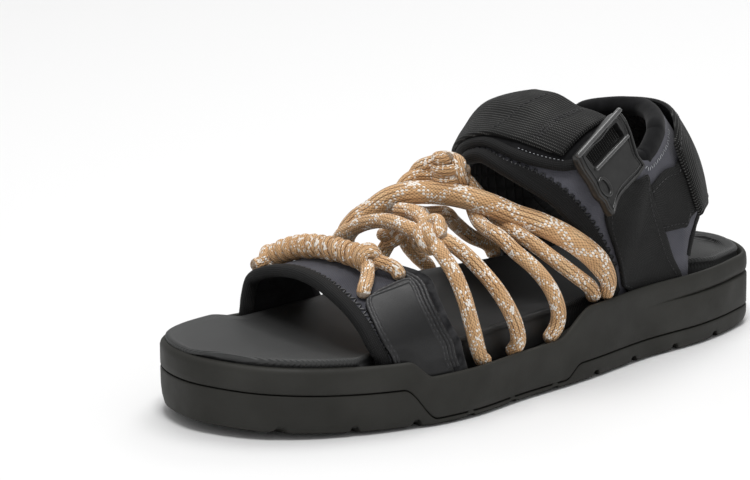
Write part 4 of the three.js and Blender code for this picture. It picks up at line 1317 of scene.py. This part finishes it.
def coil(centre, axis, radius, turns, pitch, start=0.0, squash=1.0):
    """A rope's middle line in turns around an axis, with both ends led inwards."""
    axis = unit(np.array(axis, float))
    side = unit(np.cross(axis, [0.13, 0.21, 1.0]))
    up = np.cross(axis, side)
    t = np.linspace(0, 1, int(30 * turns) + 1)
    angle = start + 2 * np.pi * turns * t
    reach = radius * (0.25 + 0.75 * step(t, 0, COIL_TUCK) * (1 - step(t, 1 - COIL_TUCK, 1)))
    return (np.array(centre) + axis * ((t - 0.5) * turns * pitch)[:, None]
            + side * (reach * np.cos(angle))[:, None]
            + up * (reach * squash * np.sin(angle))[:, None])


def lacing_ropes(lacing):
    build = Build()
    for rope in ROPES.values():
        if rope["lacing"] != lacing:
            continue
        path = rope_path(rope["route"], rope["side"])
        if rope.get("thick", False):
            t = np.linspace(0, 1, len(path))
            full = step(t, *THICK_STARTS) * (1 - step(t, *THICK_ENDS))
            tube(build, path, mix(ROPE / 2, MAIN_ROPE / 2 + 0.5, full), 18, 1)
        else:
            tube(build, path, ROPE / 2)
    return build


def make_front_lacing():
    build = lacing_ropes("front")
    knot = place(*KNOTS["front"][0])
    tube(build, coil(knot, (-0.55, 0.75, 0.35), 4.7, 2.9, 4.0, 0.3), KNOT_ROPE)
    beside = knot + np.array([-2.8, -0.5, 3.6])
    tube(build, coil(beside, (-0.7, 0.1, -0.6), 3.6, 1.8, 3.8, 0.3), THIN_KNOT_ROPE)
    build.mesh("front_rope", [BRAID, THICK_BRAID], "rope", ["front_lacing"], 60)


def make_rear_lacing():
    build = lacing_ropes("rear")
    top, low = (place(*knot) for knot in KNOTS["rear"])
    standing = top + np.array([1.2, -1.6, 0])
    tube(build, coil(standing, (0.15, 0.1, 1.0), 4.4, 2.6, 4.2, 0.3, 1.25), KNOT_ROPE)
    lying = top + np.array([-1.8, 1.8, -0.8])
    tube(build, coil(lying, (-0.75, 0.65, 0.1), 4.6, 1.15, 4.2, 2.0), KNOT_ROPE)
    tube(build, coil(low, (0.5, -0.1, 1.0), 4.0, 1.6, 4.4), THIN_KNOT_ROPE, 12)
    build.mesh("rear_rope", [BRAID, THICK_BRAID], "rope", ["rear_lacing"], 60)


def make_toe_wrap():
    build = Build()
    rise = BINDING + WRAP_RADIUS
    across, along, lift = np.array(ROLL).T
    core = resampled(spline(vamp_at(across, along, rise + lift), 200), ROLL_STEPS)
    tangents = unit(np.gradient(core, axis=0))
    up = edge_path(vamp_at, *spline(ROLL, ROLL_STEPS)[:, :2].T, rise)[1]
    up = unit(up - tangents * np.sum(up * tangents, -1, keepdims=True))
    side = np.cross(tangents, up)
    angle = 2 * np.pi * WRAP_TURNS * np.linspace(0, 1, ROLL_STEPS + 1)
    wobble = 1 + 0.05 * np.sin(angle * 0.37 + 1.0) + 0.04 * np.sin(angle * 0.61)
    reach = (WRAP_RADIUS - WRAP_ROPE) * wobble
    helix = core + up * (reach * np.cos(angle))[:, None] + side * (reach * np.sin(angle))[:, None]
    tube(build, resampled(helix, 620), WRAP_ROPE, 12)
    tube(build, core[6:-6], CORE_ROPE, 10)
    low = ROPE / 2 + CLEAR
    bases = {"roll": rise, "strap": low}
    for tail in WRAP_TAILS:
        across, along, lift = np.array([(a, b, bases[base] + c) for a, b, base, c in tail]).T
        points = vamp_at(across, along, lift)
        tube(build, resampled(spline(points, 60), 40), ROPE / 2 - 0.3, 14, 1)
    i = LAST_WRAP
    tube(build, coil(core[i] + up[i] * 0.8, tangents[i] + 0.5 * side[i], 3.9, 2.1, 3.6, 0.4), 2.4, 12)
    i = FIRST_WRAP
    tube(build, coil(core[i], tangents[i], 3.7, 1.5, 3.8, 0.4), WRAP_ROPE, 12)
    build.mesh("toe_rope_roll", [WRAP_BRAID, BRAID], "rope", ["toe_wrap"], 60)


# Edges of the bands on the ankle strap: places around it and shares of its height, for both edges
TAPE_HALF = [[0.6, 0.1], [0.51, 0.125], [0.4, 0.14], [0.3, 0.14], [0.2, 0.13], [0.1, 0.08]]
TAPE_EDGES = (
    [[a, 0.0] for a in (-0.583, -0.5, -0.4, -0.3, -0.2, -0.1, 0, 0.1, 0.2, 0.3, 0.4, 0.5, 0.583)],
    [[-a, t] for a, t in TAPE_HALF] + [[0, 0.06]] + TAPE_HALF[::-1],
)
FLAP_EDGES = (
    [[0.285, 0.38], [0.25, 0.27], [0.205, 0.21], [0.137, 0.15], [0.065, 0.12], [0, 0.11],
     [-0.1, 0.11], [-0.2, 0.11], [-0.33, 0.14]],
    [[0.285, 0.8], [0.25, 0.9], [0.205, 0.93], [0.137, 0.95], [0.065, 0.96], [0, 0.96],
     [-0.1, 0.955], [-0.2, 0.95], [-0.33, 0.9]],
)
INSTEP_EDGES = (
    [[0.238, 0.335], [0.185, 0.3], [0.106, 0.257], [0.038, 0.2], [-0.03, 0.16], [-0.11, 0.14],
     [-0.2, 0.13], [-0.3, 0.15], [-0.42, 0.17], [-0.53, 0.12], [-0.6, 0.06], [-0.63, 0.005]],
    [[0.238, 0.96], [0.185, 0.97], [0.106, 0.975], [0.038, 0.98], [-0.03, 0.985], [-0.11, 0.985],
     [-0.2, 0.985], [-0.3, 0.985], [-0.45, 0.93], [-0.62, 0.6], [-0.72, 0.3], [-0.765, 0.005]],
)
SIDE_EDGES = (
    [[0.64, 0.005], [0.62, 0.09], [0.551, 0.16], [0.468, 0.24], [0.425, 0.34], [0.42, 0.5], [0.43, 0.62]],
    [[0.79, 0.005], [0.78, 0.09], [0.758, 0.206], [0.732, 0.38], [0.695, 0.55], [0.64, 0.72], [0.58, 0.86]],
)
HEEL_EDGES = (
    [[0.72, 0.4], [0.79, 0.37], [0.83, 0.28], [0.88, 0.17], [0.94, 0.12], [1, 0.1],
     [1.07, 0.1], [1.14, 0.12], [1.2, 0.24], [1.22, 0.36]],
    [[0.615, 0.775], [0.68, 0.8], [0.745, 0.8], [0.82, 0.73], [0.88, 0.62], [0.94, 0.53], [1, 0.5],
     [1.08, 0.5], [1.17, 0.54], [1.2, 0.6], [1.23, 0.66]],
)
HEEL_FLAP_EDGES = (
    [[0.868, 0.16], [0.93, 0.1], [1, 0.08], [1.07, 0.1], [1.132, 0.16]],
    [[0.8, 0.9], [0.9, 0.93], [1, 0.93], [1.1, 0.93], [1.2, 0.9]],
)
# Flat webbings: name, material, replaced node, edges, steps, steps of the seams, base, thickness
# and the seams' shares of the width
FLAT_WEBBINGS = (
    ("side_web", TAPE, "side_webbing", SIDE_EDGES, 50, 60, LAYER, WEB, (0.1, 0.9)),
    ("heel_web", TAPE, "heel_webbing", HEEL_EDGES, 110, 160, LAYER, WEB, (0.1, 0.9)),
    ("heel_flap_web", WEBBING, "heel_flap", HEEL_FLAP_EDGES, 60, 80, 2 * LAYER + WEB, HEEL_FLAP,
     (0.08, 0.92)),
)
# Bound lower edge: first and last place around, points, share of the height, width and thickness
LOWER_BINDINGS = ((-0.575, 0.575, 160, 0.028, 3.0, 2.9), (0.825, 1.175, 70, 0.03, 2.2, 2.8))
ANKLE_SINK = -2.0
INSTEP_RISE = FLAP + 2 * LAYER + CLEAR
INSTEP_SWELL = 2.6
INSTEP_TACKS = (18, 20, 44)


def make_ankle_strap():
    build = Build()
    half = np.r_[np.linspace(0, 0.56, 40), np.linspace(0.57, 0.6, 5), np.linspace(0.61, 0.79, 16),
                 np.linspace(0.8, 0.83, 5), np.linspace(0.84, 0.995, 15)]
    shares = np.r_[0, 0.012, 0.03, np.linspace(0.06, 0.94, 26), 0.97, 0.99, 1]
    lift = np.r_[0.3, 0.8, 1, np.ones(26), 1, 0.8, 0.3]
    u, v = crossed(np.r_[-half[:0:-1], half, 1.0], shares)
    pad = COLLAR * step(v, 0.66, 0.84) * step(np.abs(u), 0.45, 0.7)
    sheet(build, ankle_at, u, v, 0.6 * lift - 0.6, -ANKLE_WALL - pad, (0, 1, 2), closed=True)
    u, v = ribbon_lines(*TAPE_EDGES, 150, np.r_[np.linspace(0, 0.9, 7), 0.96, 1.0])
    lift = np.r_[np.ones(7), 0.75, 0.1]
    sheet(build, ankle_at, u, v, 0.05 + 0.65 * lift, -0.5, (2, 2, 2))
    dark_stitches.row(*edge_path(ankle_at, u[4:-4, -1], v[4:-4, -1], 0.35), **ZIGZAG)
    for first, last, count, share, half_width, half_height in LOWER_BINDINGS:
        line = edge_path(ankle_at, np.linspace(first, last, count), share, ANKLE_SINK)
        lofted(build, *line, oval(half_width, half_height, 16, 2.6), 2)
    collar = np.linspace(0.3, 1.7, 190)
    swell = step(np.minimum(collar, 2 - collar), 0.3, 0.42)
    line = edge_path(ankle_at, np.where(collar > 1, collar - 2, collar), 0.985, -2.6 - 1.2 * swell)
    sizes = np.stack([1.9 + 2.1 * swell, 2.5 + 1.5 * swell], -1)
    lofted(build, *line, oval(1.0, 1.0, 18, 2.2)[None] * sizes[:, None], 3)
    build.mesh("ankle_strap_body", [NEOPRENE, QUILT, BINDING_TAPE, COLLAR_CLOTH], "neoprene",
               ["ankle_strap"], 60)
    for side in (1, -1):
        line = edge_path(ankle_at, np.linspace(0.42, 0.86, 90) * side, 0.905, 0.35)
        light_stitches.row(*line, **FINE_ZIGZAG)


def ribbon(build, edges, steps, base, thickness, marks=(0, 0, 0), columns=16):
    """A band between two edges on the ankle strap, rounded at its sides and its ends."""
    shares, lift = edged(columns)
    u, v = ribbon_lines(*edges, steps, shares)
    rise = np.ones(steps + 1)
    rise[:2] = [0.4, 0.9]
    rise[-2:] = [0.9, 0.4]
    low = base(u, v) if callable(base) else base
    outer = low + thickness * np.minimum(lift[None], rise[:, None])
    sheet(build, ankle_at, u, v, outer, low, marks)


def ribbon_path(edges, steps, share, off):
    """The line along a band at a share of its width."""
    u, v = ribbon_lines(*edges, steps, [share])
    return edge_path(ankle_at, u[:, 0], v[:, 0], off)


def instep_base(around, t):
    swell = step(t, 0.35, 0.65) * step(-around, -0.12, 0) * (1 - step(-around, 0.25, 0.4))
    return mix(INSTEP_RISE, LAYER, step(-around, 0.41, 0.52)) + INSTEP_SWELL * swell


def make_flap():
    build = Build()
    ribbon(build, FLAP_EDGES, 60, LAYER, FLAP, (0, 0, 1))
    lofted(build, *ribbon_path(FLAP_EDGES, 120, 0.02, LAYER + FLAP / 2), oval(2.3, 2.0, 14, 2.5), 1)
    made = build.mesh("instep_flap_pad", [COLLAR_CLOTH, BINDING_TAPE], "lining", ["instep_flap"], 60)
    path, out = ribbon_path(FLAP_EDGES, 160, 0.085, LAYER + FLAP + 0.1)
    light_stitches.row(path[16:70], out[16:70], **FINE)


def make_instep_webbing():
    build = Build()
    ribbon(build, INSTEP_EDGES, 130, instep_base, WEB, columns=26)
    build.mesh("instep_web", [WEBBING], "webbing", ["instep_webbing"], 60)
    u, v = ribbon_lines(*INSTEP_EDGES, 130, np.linspace(0.08, 0.92, 24))
    for i in INSTEP_TACKS:
        dark_stitches.row(*edge_path(ankle_at, u[i], v[i], instep_base(u[i], v[i]) + WEB), **BAR_TACK)


def make_flat_webbings():
    for name, material, node, edges, steps, seam_steps, base, thickness, seams in FLAT_WEBBINGS:
        build = Build()
        ribbon(build, edges, steps, base, thickness)
        build.mesh(name, [material], "webbing", [node], 60)
        for share in seams:
            dark_stitches.row(*ribbon_path(edges, seam_steps, share, base + thickness), **RUNNING)


# The buckle's frame: size in mm, place of its bar, and the directions along the bar and down
BUCKLE_WIDTH = 35.2
BUCKLE_THICK = 4.4
BUCKLE_STEPS = 96
BUCKLE_BAR = (-0.143, 0.298, 0.915)
BUCKLE_ALONG = (-0.901, -0.255, 0.351)
BUCKLE_DOWN = (-0.409, 0.308, -0.859)
# Bars on its front: both ends as shares of the width, radius and height above the front
BUCKLE_BARS = (((-0.59, -0.01), (0.39, -0.03), 1.25, 0), ((-0.46, 0.27), (0.27, 0.27), 0.95, 0.3))
# Ribs along its edge: inset and radius
BUCKLE_RIBS = ((1.1, 0.7), (3.0, 0.35))
BACK, FRONT = 0, BUCKLE_THICK


def even_outline(outline):
    """A closed outline as evenly spaced points."""
    closed = np.array([(a, d, 0) for a, d in outline + outline[:1]], float)
    return resampled(closed, BUCKLE_STEPS)[:-1, :2]


def outline_by_angle(flat, centre):
    """Where rays from the centre meet a closed outline, at even angles."""
    d = flat - centre
    angle = np.unwrap(np.arctan2(d[:, 1], d[:, 0]))
    if angle[-1] < angle[0]:
        flat, angle = flat[::-1], angle[::-1]
    wanted = np.linspace(0, 2 * np.pi, BUCKLE_STEPS, endpoint=False)
    at = np.mod(wanted - angle[0], 2 * np.pi) + angle[0]
    angle = np.r_[angle, angle[0] + 2 * np.pi]
    flat = np.r_[flat, flat[:1]]
    return np.stack([np.interp(at, angle, flat[:, 0]), np.interp(at, angle, flat[:, 1])], -1)


def make_buckle():
    build = Build()
    bar = place(*BUCKLE_BAR)
    along = unit(np.array(BUCKLE_ALONG))
    out = unit(np.cross(unit(np.array(BUCKLE_DOWN)), along))
    up = np.cross(out, along)
    slot = even_outline(BUCKLE_SLOT)
    centre = slot.mean(0)
    rounded = spline([(a, d, 0) for a, d in BUCKLE_OUTLINE], BUCKLE_STEPS, closed=True)[:-1, :2]
    sharp = even_outline(BUCKLE_OUTLINE)
    outer = mix(outline_by_angle(rounded, centre), outline_by_angle(sharp, centre), 0.65)
    hole = outline_by_angle(slot, centre)

    def spot(across, drop, height):
        return bar + along * across * BUCKLE_WIDTH - up * drop * BUCKLE_WIDTH + out * height

    def ring(flat, inset, height):
        middle = flat.mean(0)
        size = np.linalg.norm(flat - middle, axis=1, keepdims=True)
        moved = flat - (flat - middle) / size * inset / BUCKLE_WIDTH
        made = spot(moved[:, :1], moved[:, 1:], height)
        return np.r_[made, made[:1]]

    sections = (
        (hole, 0, 0.3), (hole, 0, FRONT - 0.9), (hole, -0.35, FRONT - 0.25), (hole, -0.9, FRONT),
        (mix(hole, outer, 0.35), 0, FRONT), (mix(hole, outer, 0.7), 0, FRONT),
        (outer, 0.9, FRONT), (outer, 0.3, FRONT - 0.3), (outer, 0, FRONT - 1.0), (outer, 0, 0.8),
        (outer, 0.4, 0.15), (outer, 1.0, BACK), (hole, -0.8, BACK), (hole, 0, 0.3),
    )
    build.grid(np.stack([ring(*section) for section in sections], 1))
    behind = fan(ring(hole, 0.1, 0.9))
    build.grid(behind, np.stack([behind @ up, behind @ along], -1), 2)
    for inset, radius in BUCKLE_RIBS:
        rib = ring(outer, inset, FRONT)
        tube(build, np.r_[rib[-2:-1], rib], radius, 8)
    # The bars take the lighter plastic: painted highlight
    for first, second, radius, rise in BUCKLE_BARS:
        a, b = spot(*first, FRONT + rise), spot(*second, FRONT + rise)
        tube(build, mix(a[None], b[None], np.linspace(0, 1, 12)[:, None]), radius, 12, 1)
    turn = np.linspace(0, 2 * np.pi, 41)[:, None]
    loop = spot(-0.5, 0.5, FRONT + 0.2) + along * 2.6 * np.cos(turn) - up * 4.0 * np.sin(turn)
    tube(build, loop, 0.85, 10)
    build.mesh("buckle_frame", [PLASTIC, HIGHLIGHT_PLASTIC, WEBBING], "buckle_plastic", ["buckle"], 38)


make_outsole()
make_midsole()
make_footbed()
make_toe_strap()
make_suede_strip()
make_panel(1)
make_panel(-1)
make_toe_wrap()
make_ankle_strap()
make_flap()
make_instep_webbing()
make_flat_webbings()
make_buckle()
make_front_lacing()
make_rear_lacing()
# Dark threads, and dark tubes that are painted seam shade
dark_stitches.build.mesh("dark_stitching_and_seam_shade", [DARK_THREAD], "dark_thread")
seam_stitches.build.mesh("seam_stitching", [LIT_SEAM_THREAD], "dark_thread")
light_stitches.build.mesh("light_stitching", [LIGHT_THREAD], "thread")

# Floor, light and camera
FLOOR_REACH = 6.0
FLOOR_DROP = 0.0003
WORLD_STRENGTH = 0.48
AIM = Vector((0, 0, 0.04))
# Lamps: name, place, size and power
LAMPS = (
    ("key", (0.42, 0.42, 1.75), 0.6, 14.5),
    ("top", (-0.4, -0.3, 1.7), 1.1, 10),
    ("rim", (-1.2, -0.7, 1.2), 0.7, 3.5),
)
AZIMUTH, ELEVATION, ROLL_ANGLE = (math.radians(a) for a in (140.306, 14.819, -0.44))
DISTANCE, RIGHTWARD, UPWARD = 2294.4, -39.99, 53.315
SENSOR = 36
# The focal length and the picture's width, both in picture points
FOCAL = 5464
PICTURE_WIDTH = 750

floor_mesh = bpy.data.meshes.new("floor")
corners = [(a * FLOOR_REACH, b * FLOOR_REACH, 0) for a, b in ((-1, -1), (1, -1), (1, 1), (-1, 1))]
floor_mesh.from_pydata(corners, [], [(0, 1, 2, 3)])
floor = bpy.data.objects.new("floor", floor_mesh)
floor.location.z = -FLOOR_DROP
bpy.context.scene.collection.objects.link(floor)
floor_mesh.materials.append(Look("pale_floor", (0.86, 0.86, 0.86), 0.8, specular=0.2).material)

world = bpy.data.worlds.new("studio")
bpy.context.scene.world = world
world.use_nodes = True
world.node_tree.nodes["Background"].inputs[0].default_value = (1.0, 1.0, 1.0, 1)
world.node_tree.nodes["Background"].inputs[1].default_value = WORLD_STRENGTH

for name, position, size, power in LAMPS:
    lamp_data = bpy.data.lights.new(name, "AREA")
    lamp_data.shape = "DISK"
    lamp_data.size = size
    lamp_data.energy = power
    lamp = bpy.data.objects.new(name, lamp_data)
    lamp.location = position
    lamp.rotation_euler = (AIM - Vector(position)).to_track_quat("-Z", "Y").to_euler()
    bpy.context.scene.collection.objects.link(lamp)

back = Vector((math.sin(AZIMUTH) * math.cos(ELEVATION), -math.cos(AZIMUTH) * math.cos(ELEVATION),
               math.sin(ELEVATION)))
right = Vector((0, 0, 1)).cross(back).normalized()
upward = back.cross(right)
right, upward = (right * math.cos(ROLL_ANGLE) + upward * math.sin(ROLL_ANGLE),
                 upward * math.cos(ROLL_ANGLE) - right * math.sin(ROLL_ANGLE))
eye = (back * DISTANCE + right * RIGHTWARD + upward * UPWARD + Vector(SHIFT)) / 1000
camera_data = bpy.data.cameras.new("camera")
camera_data.sensor_width = SENSOR
camera_data.lens = FOCAL / PICTURE_WIDTH * SENSOR
camera_data.clip_start = 0.1
camera_data.clip_end = 50
camera = bpy.data.objects.new("camera", camera_data)
camera.matrix_world = Matrix((*zip(right, upward, back, eye), (0, 0, 0, 1)))
bpy.context.scene.collection.objects.link(camera)
bpy.context.scene.camera = camera
bpy.context.scene.view_settings.view_transform = "Standard"
